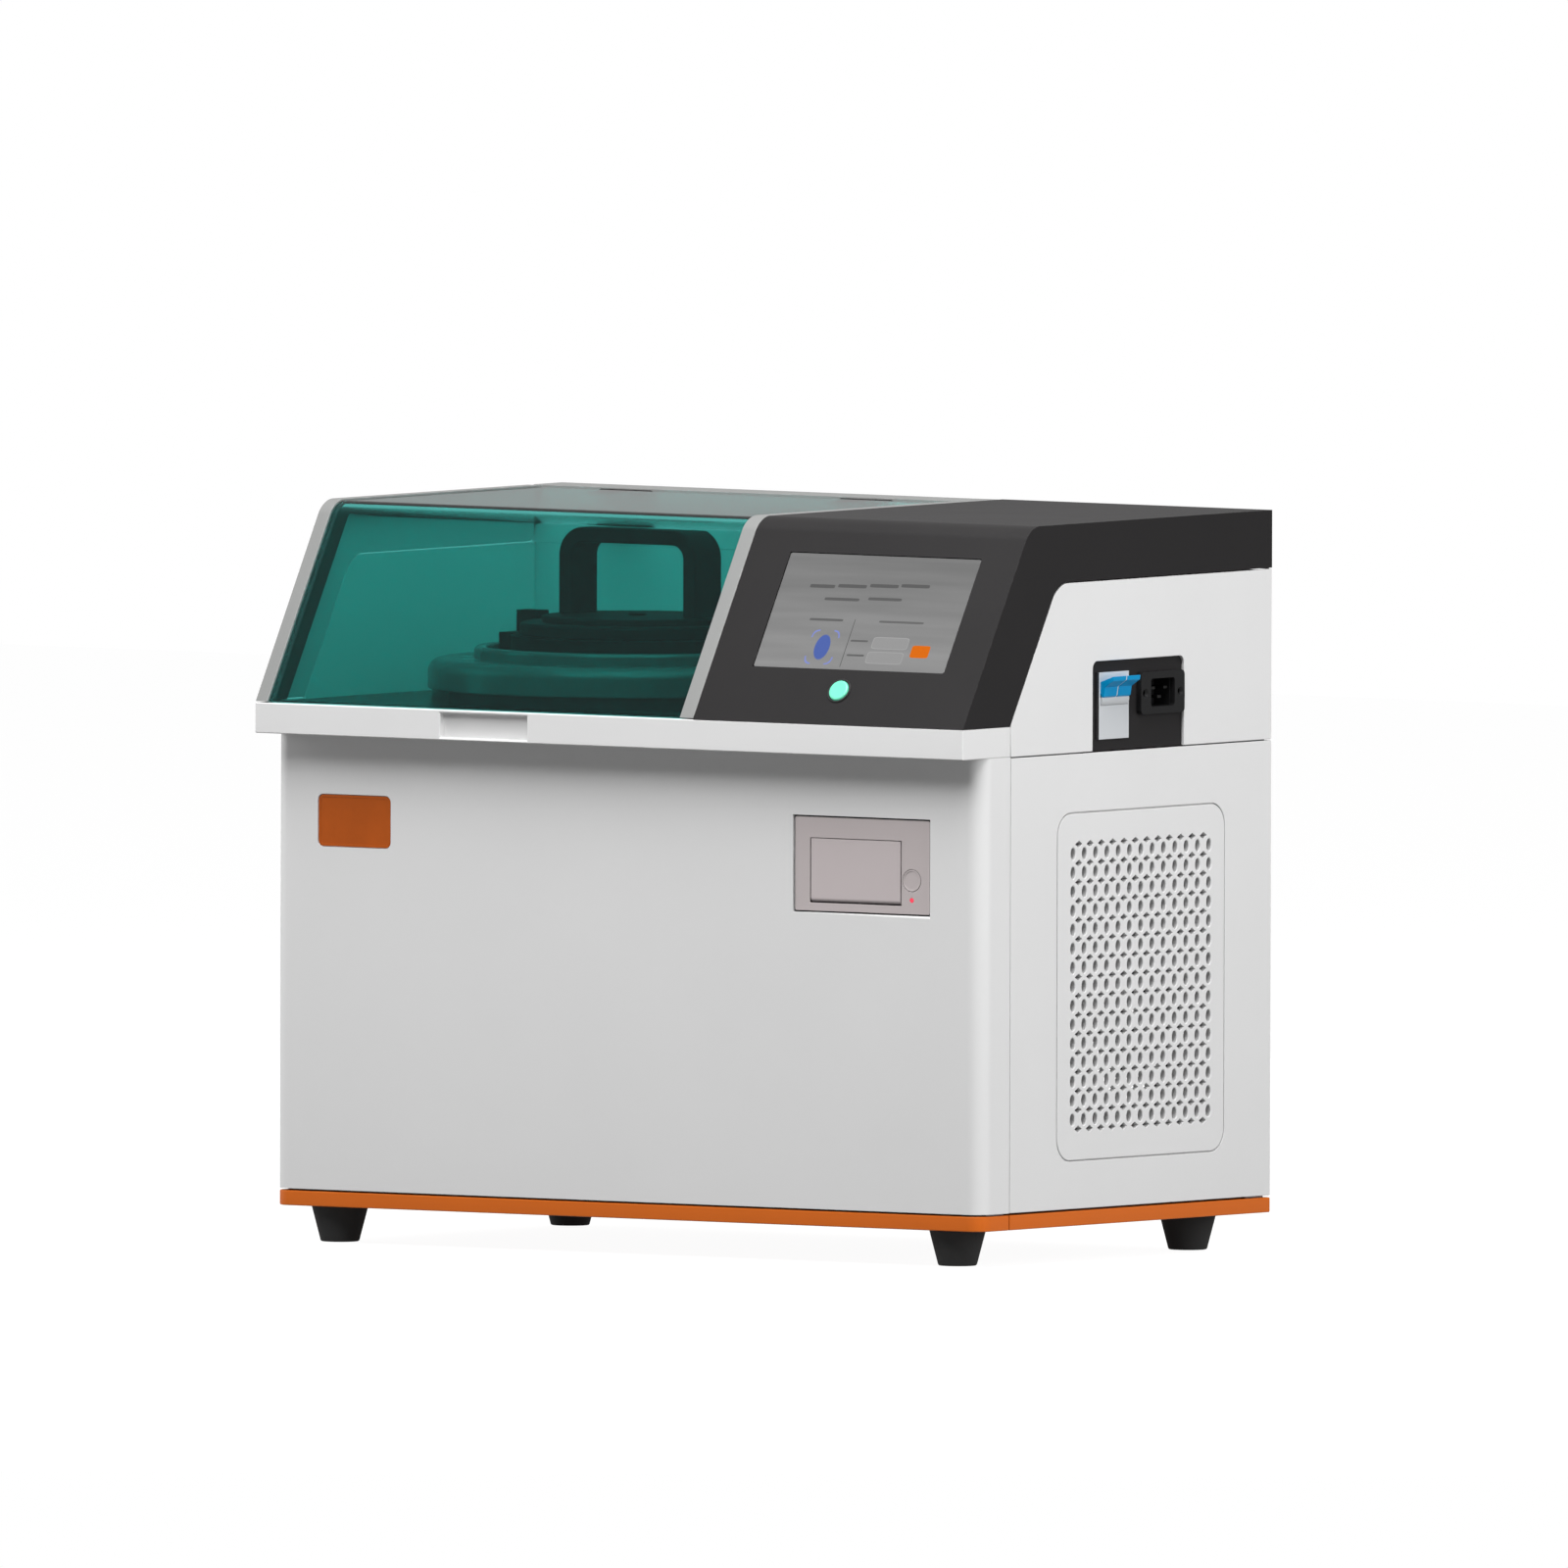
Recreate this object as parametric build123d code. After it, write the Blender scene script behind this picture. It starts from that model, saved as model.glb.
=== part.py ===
from build123d import *
import math
import os

os.makedirs("parts", exist_ok=True)

# Fiber analyzer: a bench instrument with a pressure vessel under a hinged, tinted cover on the left,
# and a control hood with a touch screen on the right. Millimetres, +X to the right, +Y to the rear,
# +Z up. The origin is the middle of the footprint, on the bench.

# Overall
width = 574.0
depth = 355.0
foot_height = 24.0
base_thickness = 10.0
base_reveal = 1.3
cabinet_height = 302.7
rim_height = 20.2
upper_height = 131.8

# Sheets, walls and gaps
sheet = 2.5
wall = 2.5
panel_gap = 0.8
seat_gap = 0.3
slide_gap = 0.05
seal_gap = 0.1

# Cabinet outline
cabinet_setback = 22.0
seam_setback = 55.0
cabinet_corner = 12.0
trim_width = 12.0

# Sloped front and rounded top of the hood and the cover
front_lean = 30.4
bend_radius = 18.5
band_front = 47.4
band_top = 39.1
band_radius = 20.0
cover_width = 354.8
side_gap = 0.5

# Feet
foot_top_radius = 19.0
foot_bottom_radius = 12.75
foot_side_inset = 36.6
foot_front_inset = 47.6
foot_rear_inset = 42.8

# Chassis angles
angle_leg = 20.0
angle_thickness = 3.0
rail_below_seam = 20.0

# Deck rim and deck plate
rim_wall = 6.0
rim_lip = 8.0
rim_edge_round = 1.5
deck_thickness = 3.0
deck_drop = 0.5
deck_hole_gap = 2.0
cable_slot_side = 60.0
cable_slot_rear = 20.0
cable_slot_length = 60.0
cable_slot_width = 25.0
recess_left = 149.7
recess_width = 70.8
recess_depth = 4.4
recess_top_lip = 2.0
recess_bottom_lip = 1.5

# Badge plate
badge_width = 58.1
badge_height = 34.1
badge_left = 65.2
badge_below_seam = 57.5
badge_corner = 4.0
badge_thickness = 1.0
badge_pocket = 1.4
badge_gap = 0.5

# Panel printer
printer_width = 109.2
printer_height = 62.4
printer_from_right = 97.4
printer_below_seam = 73.7
printer_gap = 1.0
printer_recess = 1.0
bezel_thickness = 6.0
bezel_flange = 5.0
bezel_flange_thickness = 2.0
door_width = 73.2
door_height = 43.1
door_offset = -5.3
door_bottom = 5.4
door_gap = 0.4
door_thickness = 3.0
door_pin_radius = 1.2
door_pin_length = 2.4
housing_depth = 46.0
housing_wall = 2.0
housing_margin = 2.0
platen_radius = 5.0
platen_length = 58.0
platen_shaft_radius = 1.5
platen_reach = 33.0
platen_depth = 5.0
door_arm = 3.0
button_radius = 7.2
button_offset = 40.1
button_height = 22.4
button_thickness = 3.2
button_stem_radius = 2.0
button_travel = 1.5
lamp_radius = 1.5
lamp_height = 9.3

# Vent panel in the right side cover
vent_width = 191.3
vent_height = 230.0
vent_from_rear = 149.5
vent_above_base = 148.6
vent_corner = 15.0
vent_flange = 8.0
vent_flange_thickness = 1.2
vent_pitch = 13.0
vent_row_pitch = 12.6
vent_rows = 16
vent_columns = 12
vent_hole = 7.7
vent_hole_height = 4.5
vent_oval = 5.4
vent_oval_height = 8.1
vent_oval_sides = 8

# Power plate, breaker and mains inlet on the right upper side
power_front = 149.6
power_width = 104.8
power_height = 59.6
power_corner = 5.0
power_margin = 6.0
breaker_width = 35.6
breaker_height = 44.5
breaker_front_gap = 6.4
breaker_bottom = 7.4
breaker_length = 58.0
breaker_proud = 0.8
lever_height = 26.5
lever_hub_radius = 7.0
lever_reach = 19.0
lever_thickness = 5.0
lever_bend = 13.3
lever_crest = 11.4
lever_lip = 2.5
lever_round = 3.0
lever_side_gap = 1.2
lever_split = 1.4
lever_up = 38.0
inlet_width = 50.0
inlet_height = 28.0
inlet_flange = 4.0
inlet_corner = 3.0
inlet_from_front = 78.4
inlet_bottom = 22.3
inlet_body_width = 28.0
inlet_body_height = 22.0
inlet_body_length = 26.0
inlet_cavity_width = 24.5
inlet_cavity_height = 17.0
inlet_cavity_depth = 17.0
inlet_screw_pitch = 40.0
inlet_screw_radius = 1.6
pin_width = 4.0
pin_thickness = 2.0
pin_length = 14.0
pin_spread = 14.0
pin_rise = 3.0

# Touch screen, start button and board in the hood
screen_width = 154.3
screen_height = 85.6
screen_above_rim = 72.8
screen_offset = 1.3
screen_gap = 0.35
screen_recess = 0.5
glass_thickness = 1.9
module_thickness = 12.0
module_margin = 6.0
module_side_gap = 23.7
start_above_rim = 22.0
start_radius = 7.9
start_ring_radius = 9.8
start_ring_height = 0.8
start_hole_gap = 0.3
start_body_radius = 9.0
start_body_length = 24.0
start_cap_thickness = 4.0
start_travel = 2.0
board_length = 150.0
board_width = 90.0
board_thickness = 1.6
board_stand = 8.0
board_from_rear = 60.0
board_side_gap = 5.0
chip_size = 24.0
chip_height = 3.0
chip_from_end = 40.0
terminal_length = 60.0
terminal_depth = 10.0
terminal_height = 9.0
terminal_margin = 6.0

# Cover: glazing, frames, seals and hinges
frame_width = 9.5
frame_right_width = 11.0
frame_thickness = 5.5
glazing_inset = 1.0
glazing_gap = 0.2
glazing_lap = 3.0
seal_depth = 12.0
cover_floor_gap = 0.8
beam_depth = 36.0
beam_round = 4.0
hinge_drop = 6.0
hinge_clearance = 7.0
knuckle_radius = 5.4
knuckle_gap = 1.0
hinge_pin_radius = 2.0
hinge_length = 40.0
hinge_middle = 18.0
hinge_leaf = 3.0
hinge_leaf_reach = 30.0
hinge_inset = 60.0

# Vessel and what is on it
vessel_left = 185.5
vessel_front = 177.5
vessel_bore = 62.0
vessel_wall = 2.5
vessel_depth = 205.0
vessel_flange = 72.0
flange_thickness = 3.0
vessel_bottom_round = 16.0
heater_thickness = 5.0
heater_height = 90.0
heater_rise = 30.0
jacket_radius = 92.0
jacket_height = 165.0
gasket_height = 2.5
base_ring_radius = 136.0
base_ring_height = 8.0
collar_radius = 138.6
collar_height = 20.0
collar_round = 15.0
collar_bore = 67.0
guard_radius = 108.0
guard_width = 8.0
guard_height = 8.0
guard_round = 3.0
ring_radius = 84.0
ring_height = 12.0
ring_bore = 74.5
ledge_radius = 68.5
ledge_height = 4.0
ledge_root = 1.0
ledge_angle = 50.0
skirt_width = 4.5
lug_angle = 40.0
lug_count = 3
block_reach = 98.0
block_inner = 50.0
block_width = 40.0
block_foot = 41.0
block_foot_setback = 2.0
block_post = 14.0
block_post_width = 12.0
block_post_gap = 2.0
lid_radius = 78.0
lid_thickness = 8.6
lid_step_radius = 63.5
lid_step = 4.5
lid_round = 2.5
lid_step_round = 1.5
lid_lower_round = 1.0
plug_radius = 67.5
lug_radius = 73.8
lug_height = 4.4
gasket_inner = 63.0
gasket_outer = 66.8
handle_width = 105.0
handle_depth = 31.0
handle_rise = 53.5
handle_thickness = 10.0
handle_outer_round = 19.0
handle_inner_round = 9.0
boss_radius = 6.0
boss_height = 1.2

# Bag suspender, agitator and motor
post_radius = 4.0
tray_radius = 54.0
tray_thickness = 2.0
tray_count = 4
tray_pitch = 32.0
tray_hole = 17.0
tray_holes = 4
tray_hole_circle = 30.0
suspender_foot = 46.5
suspender_leg = 6.0
suspender_rise = 28.0
suspender_grip = 16.0
grip_radius = 6.0
spacer_radius = 5.5
post_gap = 0.2
shaft_radius = 5.0
hub_radius = 9.0
hub_height = 14.0
hub_rise = 3.0
motor_bore_depth = 20.0
blade_count = 4
blade_reach = 43.0
blade_thickness = 3.0
blade_root = 2.0
blade_margin = 2.0
seal_outer_radius = 14.0
seal_height = 16.0
motor_radius = 26.0
motor_length = 58.0
motor_round = 3.0
gearbox_radius = 30.0
gearbox_length = 22.0
motor_below = 26.0
stand_width = 120.0
stand_thickness = 4.0
stand_leg = 12.0
stand_hole_gap = 2.0

# Fan, power supply, pump, valves, hoses and ports
fan_size = 80.0
fan_depth = 25.0
fan_wall = 2.0
fan_from_right = 107.0
fan_above_base = 96.0
fan_bore = 38.0
fan_tip_gap = 1.5
fan_hub_radius = 15.0
fan_axle_radius = 2.0
fan_blades = 7
fan_blade_angle = 35.0
fan_blade_margin = 1.0
fan_blade_root = 2.0
fan_spokes = 3
fan_spoke = 5.0
guard_slot = 7.0
guard_web = 2.2
guard_rings = 4
supply_length = 160.0
supply_width = 98.0
supply_height = 38.0
supply_from_right = 50.0
supply_from_front = 60.0
supply_ledge = 16.0
supply_ledge_height = 14.0
supply_ledge_margin = 3.0
pump_width = 60.0
pump_foot_height = 23.0
pump_barrel_radius = 20.0
pump_barrel_height = 36.0
pump_cap_radius = 12.0
pump_cap_height = 9.0
pump_round = 2.0
pump_from_left = 22.0
pump_from_rear = 40.0
valve_width = 26.0
valve_height = 34.0
valve_coil_radius = 10.0
valve_coil_height = 24.0
valve_from_left = 110.0
valve_from_rear = 55.0
valve_pitch = 45.0
port_radius = 4.0
port_collar_radius = 8.0
port_length = 16.0
port_flange = 3.0
port_nut = 3.0
port_pitch = 30.0
port_left = 62.0
port_above_base = 46.0
port_bore = 2.5
screw_head_radius = 3.5
screw_head_height = 1.2
screw_shank_radius = 2.0
screw_length = 8.0
screw_inset = 12.0

# Levels and planes that follow
base_top = foot_height + base_thickness
cover_bottom = base_top + base_reveal
seam_z = cover_bottom + cabinet_height
deck_z = seam_z + rim_height
top_z = deck_z + upper_height
left_x = -width / 2
right_x = width / 2
front_y = -depth / 2
rear_y = depth / 2
cabinet_front_y = front_y + cabinet_setback
seam_y = front_y + seam_setback
deck_top = deck_z - deck_drop
shelf_z = deck_top - deck_thickness
band_z = top_z - band_top
lean_cos = math.cos(math.radians(front_lean))
lean_sin = math.sin(math.radians(front_lean))
lean_tan = math.tan(math.radians(front_lean))
hood_left = left_x + cover_width + side_gap
beam_y = rear_y - beam_depth
hinge_y = beam_y - hinge_clearance
hinge_z = top_z - hinge_drop
cover_rear_y = hinge_y - knuckle_radius - knuckle_gap
vessel_x = left_x + vessel_left
vessel_y = front_y + vessel_front
inner_right = right_x - wall
inner_left = left_x + wall


def block(x0, x1, y0, y1, z0, z1):
    """Rectangular piece between two corners."""
    middle = ((x0 + x1) / 2, (y0 + y1) / 2, (z0 + z1) / 2)
    return Pos(*middle) * Box(x1 - x0, y1 - y0, z1 - z0)


def rounded_face(points, rounds):
    """Closed outline of straight lines, with a radius at the numbered corners."""
    face = make_face(Polyline(*points, close=True))
    for number, radius in rounds.items():
        target = Vector(*points[number])
        corner = min(face.vertices(), key=lambda vertex: (Vector(vertex.X, vertex.Y) - target).length)
        face = fillet(corner, radius)
    return face


def turned(points, rounds, x, y):
    """Solid of revolution about a vertical axis, from (radius, height) corners."""
    section = Plane.XZ * rounded_face(points, rounds)
    return Pos(x, y, 0) * revolve(section, axis=Axis.Z)


def ring(outer, inner, z0, z1, x, y):
    """Plain ring about a vertical axis."""
    return Pos(x, y, z0) * extrude(Circle(outer) - Circle(inner), amount=z1 - z0)


def disc(radius, z0, z1, x, y):
    """Plain disc about a vertical axis."""
    return Pos(x, y, z0) * extrude(Circle(radius), amount=z1 - z0)


def rod_x(radius, x0, x1, y, z):
    """Round bar along X."""
    return Plane.YZ.offset(x0) * Pos(y, z) * extrude(Circle(radius), amount=x1 - x0)


def rod_y(radius, x, y0, y1, z):
    """Round bar along Y."""
    return Plane(origin=(x, y0, z), x_dir=(1, 0, 0), z_dir=(0, 1, 0)) * extrude(
        Circle(radius), amount=y1 - y0
    )


def fold_path(front_inset, top_inset, radius, y_end, z_start):
    """Line up the sloped front and back along the top, seen from the side."""
    z_top = top_z - top_inset
    foot_y = front_y + front_inset / lean_cos
    start = (foot_y + (z_start - deck_z) * lean_tan, z_start)
    corner = (foot_y + (z_top - deck_z) * lean_tan, z_top)
    return FilletPolyline(start, corner, (y_end, z_top), radius=radius)


def fold_strip(outer, inner, x0, x1):
    """Solid between two fold paths, from x0 to x1."""
    ends = [Line(outer @ 0, inner @ 0), Line(outer @ 1, inner @ 1)]
    face = make_face(Curve() + [outer, inner] + ends)
    return extrude(Plane.YZ.offset(x0) * face, amount=x1 - x0)


def fold_sheet(inset, thickness, x0, x1, y_end, z_start):
    """Bent sheet under the outer surface, following the front and the top."""
    outer = fold_path(inset, inset, bend_radius - inset, y_end, z_start)
    deeper = inset + thickness
    inner_radius = max(bend_radius - deeper, 1.0)
    inner = fold_path(deeper, deeper, inner_radius, y_end, z_start)
    return fold_strip(outer, inner, x0, x1)


def band_path(gap, y_end, z_start):
    """Inner edge of the side band, gap millimetres towards the outside."""
    return fold_path(band_front - gap, band_top - gap, band_radius, y_end, z_start)


def slope_plane(x, above_rim, inset=0.0):
    """Plane on the sloped front, its local Z pointing outwards."""
    y = front_y + above_rim * lean_tan + inset * lean_cos
    return Plane(
        origin=(x, y, deck_z + above_rim - inset * lean_sin),
        x_dir=(1, 0, 0),
        z_dir=(0, -lean_cos, lean_sin),
    )


def make_feet():
    """Four tapered feet under the base plate."""
    standing = (Align.CENTER, Align.CENTER, Align.MIN)
    foot = Cone(foot_bottom_radius, foot_top_radius, foot_height, align=standing)
    places = [
        (left_x + foot_side_inset, front_y + foot_front_inset),
        (right_x - foot_side_inset, front_y + foot_front_inset),
        (left_x + foot_side_inset, rear_y - foot_rear_inset),
        (right_x - foot_side_inset, rear_y - foot_rear_inset),
    ]
    return Compound([Pos(x, y, 0) * foot.solid() for x, y in places])


def base_outline(inset):
    """Front part of the cabinet outline, with its two rounded corners."""
    x0 = left_x + inset
    x1 = right_x - inset
    y0 = cabinet_front_y + inset
    points = [(x0, seam_y), (x0, y0), (x1, y0), (x1, seam_y)]
    radius = max(cabinet_corner - inset, 1.0)
    return rounded_face(points, {1: radius, 2: radius})


def make_base_front_trim():
    """Orange strip round the front of the base, open to the rear."""
    strip = base_outline(0.0) - base_outline(trim_width)
    return Pos(0, 0, foot_height) * extrude(strip, amount=base_thickness)


def make_base_plate():
    """Orange base plate, with a tongue that the front trim wraps."""
    main = block(left_x, right_x, seam_y + panel_gap, rear_y, foot_height, base_top)
    x0 = left_x + trim_width + seat_gap
    x1 = right_x - trim_width - seat_gap
    y0 = cabinet_front_y + trim_width + seat_gap
    return main + block(x0, x1, y0, seam_y + panel_gap, foot_height, base_top)


def make_front_cover():
    """White front cover that wraps both front corners, with its printer window and badge pocket."""
    shell = Pos(0, 0, cover_bottom) * extrude(base_outline(0.0) - base_outline(sheet), amount=cabinet_height)
    badge_x = left_x + badge_left
    badge_z = seam_z - badge_below_seam
    pocket = Plane(
        origin=(badge_x, cabinet_front_y + badge_pocket, badge_z),
        x_dir=(1, 0, 0),
        z_dir=(0, -1, 0),
    )
    pocket_face = RectangleRounded(
        badge_width + 2 * badge_gap, badge_height + 2 * badge_gap, badge_corner + badge_gap
    )
    shell -= extrude(pocket * pocket_face, amount=badge_pocket + 1)
    x = right_x - printer_from_right
    z = seam_z - printer_below_seam
    half_width = printer_width / 2 + printer_gap
    half_height = printer_height / 2 + printer_gap
    window = block(
        x - half_width, x + half_width,
        cabinet_front_y - 1, cabinet_front_y + sheet + 1,
        z - half_height, z + half_height,
    )
    return shell - window


def make_badge_plate():
    """Bare orange plate in the front cover's pocket."""
    place = Plane(
        origin=(left_x + badge_left, cabinet_front_y + badge_pocket, seam_z - badge_below_seam),
        x_dir=(1, 0, 0),
        z_dir=(0, -1, 0),
    )
    return extrude(place * RectangleRounded(badge_width, badge_height, badge_corner), amount=badge_thickness)


def side_outline():
    """Lower side cover between the front seam and the rear, as limits in Y and Z."""
    return seam_y + panel_gap, rear_y, cover_bottom, seam_z - panel_gap


def make_side_cover_left():
    """Plain lower cover on the left."""
    y0, y1, z0, z1 = side_outline()
    return block(left_x, left_x + sheet, y0, y1, z0, z1)


def vent_plane(x):
    """Plane at the vent's middle, its local Z pointing to the right."""
    return Plane(
        origin=(x, rear_y - vent_from_rear, base_top + vent_above_base),
        x_dir=(0, 1, 0),
        z_dir=(1, 0, 0),
    )


def make_side_cover_right():
    """Lower cover on the right, with the window for the vent panel."""
    y0, y1, z0, z1 = side_outline()
    cover = block(right_x - sheet, right_x, y0, y1, z0, z1)
    window = RectangleRounded(
        vent_width + 2 * panel_gap, vent_height + 2 * panel_gap, vent_corner + panel_gap
    )
    return cover - extrude(vent_plane(right_x - sheet - 1) * window, amount=sheet + 2)


def oval_face(across, up, sides):
    """Upright oval of flat sides; four of them make a diamond."""
    angles = [2 * math.pi * number / sides for number in range(sides)]
    points = [(across / 2 * math.sin(angle), up / 2 * math.cos(angle)) for angle in angles]
    return make_face(Polyline(*points, close=True))


def make_vent_panel():
    """Vent panel: rows of diamond holes, and between them rows of upright oval holes."""
    plug = RectangleRounded(vent_width, vent_height, vent_corner)
    flange = RectangleRounded(
        vent_width + 2 * vent_flange, vent_height + 2 * vent_flange, vent_corner + vent_flange
    )
    back_x = right_x - sheet - vent_flange_thickness
    panel = extrude(vent_plane(back_x) * flange, amount=vent_flange_thickness)
    panel += extrude(vent_plane(right_x - sheet) * plug, amount=sheet)
    diamond = oval_face(vent_hole, vent_hole_height, 4)
    oval = oval_face(vent_oval, vent_oval_height, vent_oval_sides)
    holes = Sketch() + GridLocations(vent_pitch, vent_row_pitch, vent_columns, vent_rows) * diamond
    holes += GridLocations(vent_pitch, vent_row_pitch, vent_columns + 1, vent_rows - 1) * oval
    return panel - extrude(vent_plane(back_x - 1) * holes, amount=sheet + vent_flange_thickness + 2)


def fan_slots():
    """Ring-shaped slots of the punched finger guard, parted by two crossing bars."""
    slots = Sketch()
    for number in range(guard_rings):
        outer = fan_bore - number * (guard_slot + guard_web)
        slots += Circle(outer) - Circle(outer - guard_slot)
    bar = Rectangle(2 * fan_bore + guard_web, guard_web)
    return slots - Rot(0, 0, 45) * bar - Rot(0, 0, -45) * bar


def make_rear_cover():
    """Lower rear cover with the fan's punched finger guard and the holes for the hose ports."""
    cover = block(
        left_x + sheet + seat_gap, right_x - sheet - seat_gap,
        rear_y - sheet, rear_y,
        cover_bottom, seam_z - panel_gap,
    )
    x, z = fan_place()
    outside = Plane(origin=(x, rear_y + 1, z), x_dir=(1, 0, 0), z_dir=(0, 1, 0))
    cover -= extrude(outside * fan_slots(), amount=-sheet - 2)
    for x in port_places():
        cover -= rod_y(port_radius + seal_gap, x, rear_y - sheet - 1, rear_y + 1, base_top + port_above_base)
    for x, z in screw_places():
        cover -= rod_y(screw_shank_radius + seal_gap, x, rear_y - sheet - 1, rear_y + 1, z)
        cover -= rod_y(screw_head_radius + seal_gap, x, rear_y - screw_head_height, rear_y + 1, z)
    return cover


def angle_post(x, y, x_way, y_way, z0, z1):
    """Upright angle whose corner is at (x, y), its legs running x_way and y_way."""
    x_leg = sorted((x, x + x_way * angle_leg))
    y_thin = sorted((y, y + y_way * angle_thickness))
    y_leg = sorted((y, y + y_way * angle_leg))
    x_thin = sorted((x, x + x_way * angle_thickness))
    return block(*x_leg, *y_thin, z0, z1) + block(*x_thin, *y_leg, z0, z1)


def chassis_limits():
    """Outside of the chassis, as limits in X and Y."""
    x1 = right_x - sheet - vent_flange_thickness - seat_gap
    y0 = cabinet_front_y + cabinet_corner + seat_gap
    return -x1, x1, y0, rear_y - wall - seat_gap


def power_bay():
    """Space that the deck and the chassis leave for the breaker and the inlet."""
    y0 = front_y + power_front - power_margin - panel_gap
    y1 = y0 + power_width + 2 * power_margin + 2 * panel_gap
    return block(
        inner_right - breaker_length - panel_gap, right_x, y0, y1,
        seam_z - panel_gap, seam_z + power_height + power_margin + panel_gap,
    )


def make_chassis_frame():
    """Welded frame of steel angles: four posts, two side rails, a front and a rear rail."""
    x0, x1, y0, y1 = chassis_limits()
    frame = angle_post(x0, y0, 1, 1, base_top, seam_z) + angle_post(x1, y0, -1, 1, base_top, seam_z)
    frame += angle_post(x0, y1, 1, -1, base_top, shelf_z) + angle_post(x1, y1, -1, -1, base_top, shelf_z)
    rail_y = seam_y + panel_gap
    for side, way in ((x0, 1), (x1, -1)):
        flat = sorted((side, side + way * angle_leg))
        upright = sorted((side, side + way * angle_thickness))
        frame += block(*flat, rail_y, y1, shelf_z - angle_thickness, shelf_z)
        frame += block(*upright, y0, y1, seam_z - rail_below_seam, seam_z)
        frame += block(*upright, rail_y, y1, seam_z, shelf_z)
    frame += block(x0, x1, y1 - angle_leg, y1, shelf_z - angle_thickness, shelf_z)
    frame += block(x0, x1, y0, y0 + angle_leg, seam_z - angle_thickness, seam_z)
    for x, z in screw_places():
        frame -= rod_y(screw_shank_radius + seal_gap, x, y1 - angle_thickness - 1, y1 + 1, z)
    return frame - power_bay()


def screw_places():
    """X and Z of the screws that hold the rear cover to the rear posts."""
    x0 = chassis_limits()[0] + angle_leg / 2
    levels = [cover_bottom + screw_inset, (cover_bottom + seam_z) / 2, seam_z - panel_gap - screw_inset]
    return [(x, z) for x in (x0, -x0) for z in levels]


def make_deck_rim():
    """White rim round the front of the deck, hollow behind, with the finger recess."""
    section = [
        (front_y, seam_z),
        (seam_y, seam_z),
        (seam_y, seam_z + wall),
        (front_y + rim_wall, seam_z + wall),
        (front_y + rim_wall, shelf_z - wall),
        (seam_y, shelf_z - wall),
        (seam_y, shelf_z),
        (front_y + rim_lip, shelf_z),
        (front_y + rim_lip, deck_z),
        (front_y, deck_z),
    ]
    face = rounded_face(section, {0: rim_edge_round, 9: rim_edge_round})
    rim = extrude(Plane.YZ.offset(left_x) * face, amount=width)
    for x0, x1 in ((left_x, inner_left), (inner_right, right_x)):
        rim += block(x0, x1, front_y + rim_lip / 2, seam_y, seam_z, deck_z)
    recess_x = left_x + recess_left
    recess = block(
        recess_x, recess_x + recess_width,
        front_y - 1, front_y + recess_depth,
        seam_z + recess_bottom_lip, deck_z - recess_top_lip,
    )
    return rim - recess


def make_deck_plate():
    """Dark deck plate with the vessel opening and a cable slot."""
    plate = block(
        inner_left + seat_gap, inner_right - seat_gap,
        front_y + rim_lip + seat_gap, rear_y - wall - seat_gap,
        shelf_z, deck_top,
    )
    plate -= disc(jacket_radius + deck_hole_gap, shelf_z - 1, deck_top + 1, vessel_x, vessel_y)
    slot_x = hood_left + cable_slot_side
    slot_y = rear_y - cable_slot_rear
    plate -= block(
        slot_x, slot_x + cable_slot_length, slot_y - cable_slot_width, slot_y,
        shelf_z - 1, deck_top + 1,
    )
    return plate - power_bay()


def upper_side_outline():
    """Upper side wall below the band, as a face seen from the side."""
    y0 = seam_y + panel_gap
    slope_y = front_y + band_front / lean_cos + (band_z - deck_z) * lean_tan
    points = [
        (y0, seam_z),
        (y0, deck_z + (y0 - front_y - band_front / lean_cos) / lean_tan),
        (slope_y, band_z),
        (rear_y, band_z),
        (rear_y, seam_z),
    ]
    return rounded_face(points, {2: band_radius})


def make_side_wall_left():
    """Upper wall on the left, below the cover's band."""
    return extrude(Plane.YZ.offset(left_x) * upper_side_outline(), amount=wall)


def make_side_wall_right():
    """Upper wall on the right, with the opening for the power plate."""
    side = extrude(Plane.YZ.offset(inner_right) * upper_side_outline(), amount=wall)
    y0 = front_y + power_front
    y1 = y0 + power_width
    z1 = seam_z + power_height
    opening = [(y0, seam_z - 1), (y0, z1), (y1, z1), (y1, seam_z - 1)]
    face = rounded_face(opening, {1: power_corner, 2: power_corner})
    return side - extrude(Plane.YZ.offset(inner_right - 1) * face, amount=wall + 2)


def make_divider_wall():
    """Wall between the vessel chamber and the control compartment, under the hood's skin."""
    inset = wall + seat_gap
    y1 = rear_y - wall - seat_gap
    outer = fold_path(inset, inset, bend_radius - inset, y1, deck_z)
    base = Line(outer @ 0, (y1, deck_z))
    back = Line((y1, deck_z), outer @ 1)
    face = make_face(Curve() + [outer, base, back])
    return extrude(Plane.YZ.offset(hood_left) * face, amount=wall)


def make_chamber_back_wall():
    """Light wall behind the vessel, under the rear beam."""
    return block(
        inner_left + seat_gap, hood_left - seat_gap,
        beam_y, beam_y + wall,
        deck_top, band_z,
    )


def make_rear_upper_cover():
    """Upper rear cover behind the chamber and the control compartment."""
    return block(
        inner_left + seat_gap, inner_right - seat_gap,
        rear_y - wall, rear_y,
        seam_z, band_z - panel_gap,
    )


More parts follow.
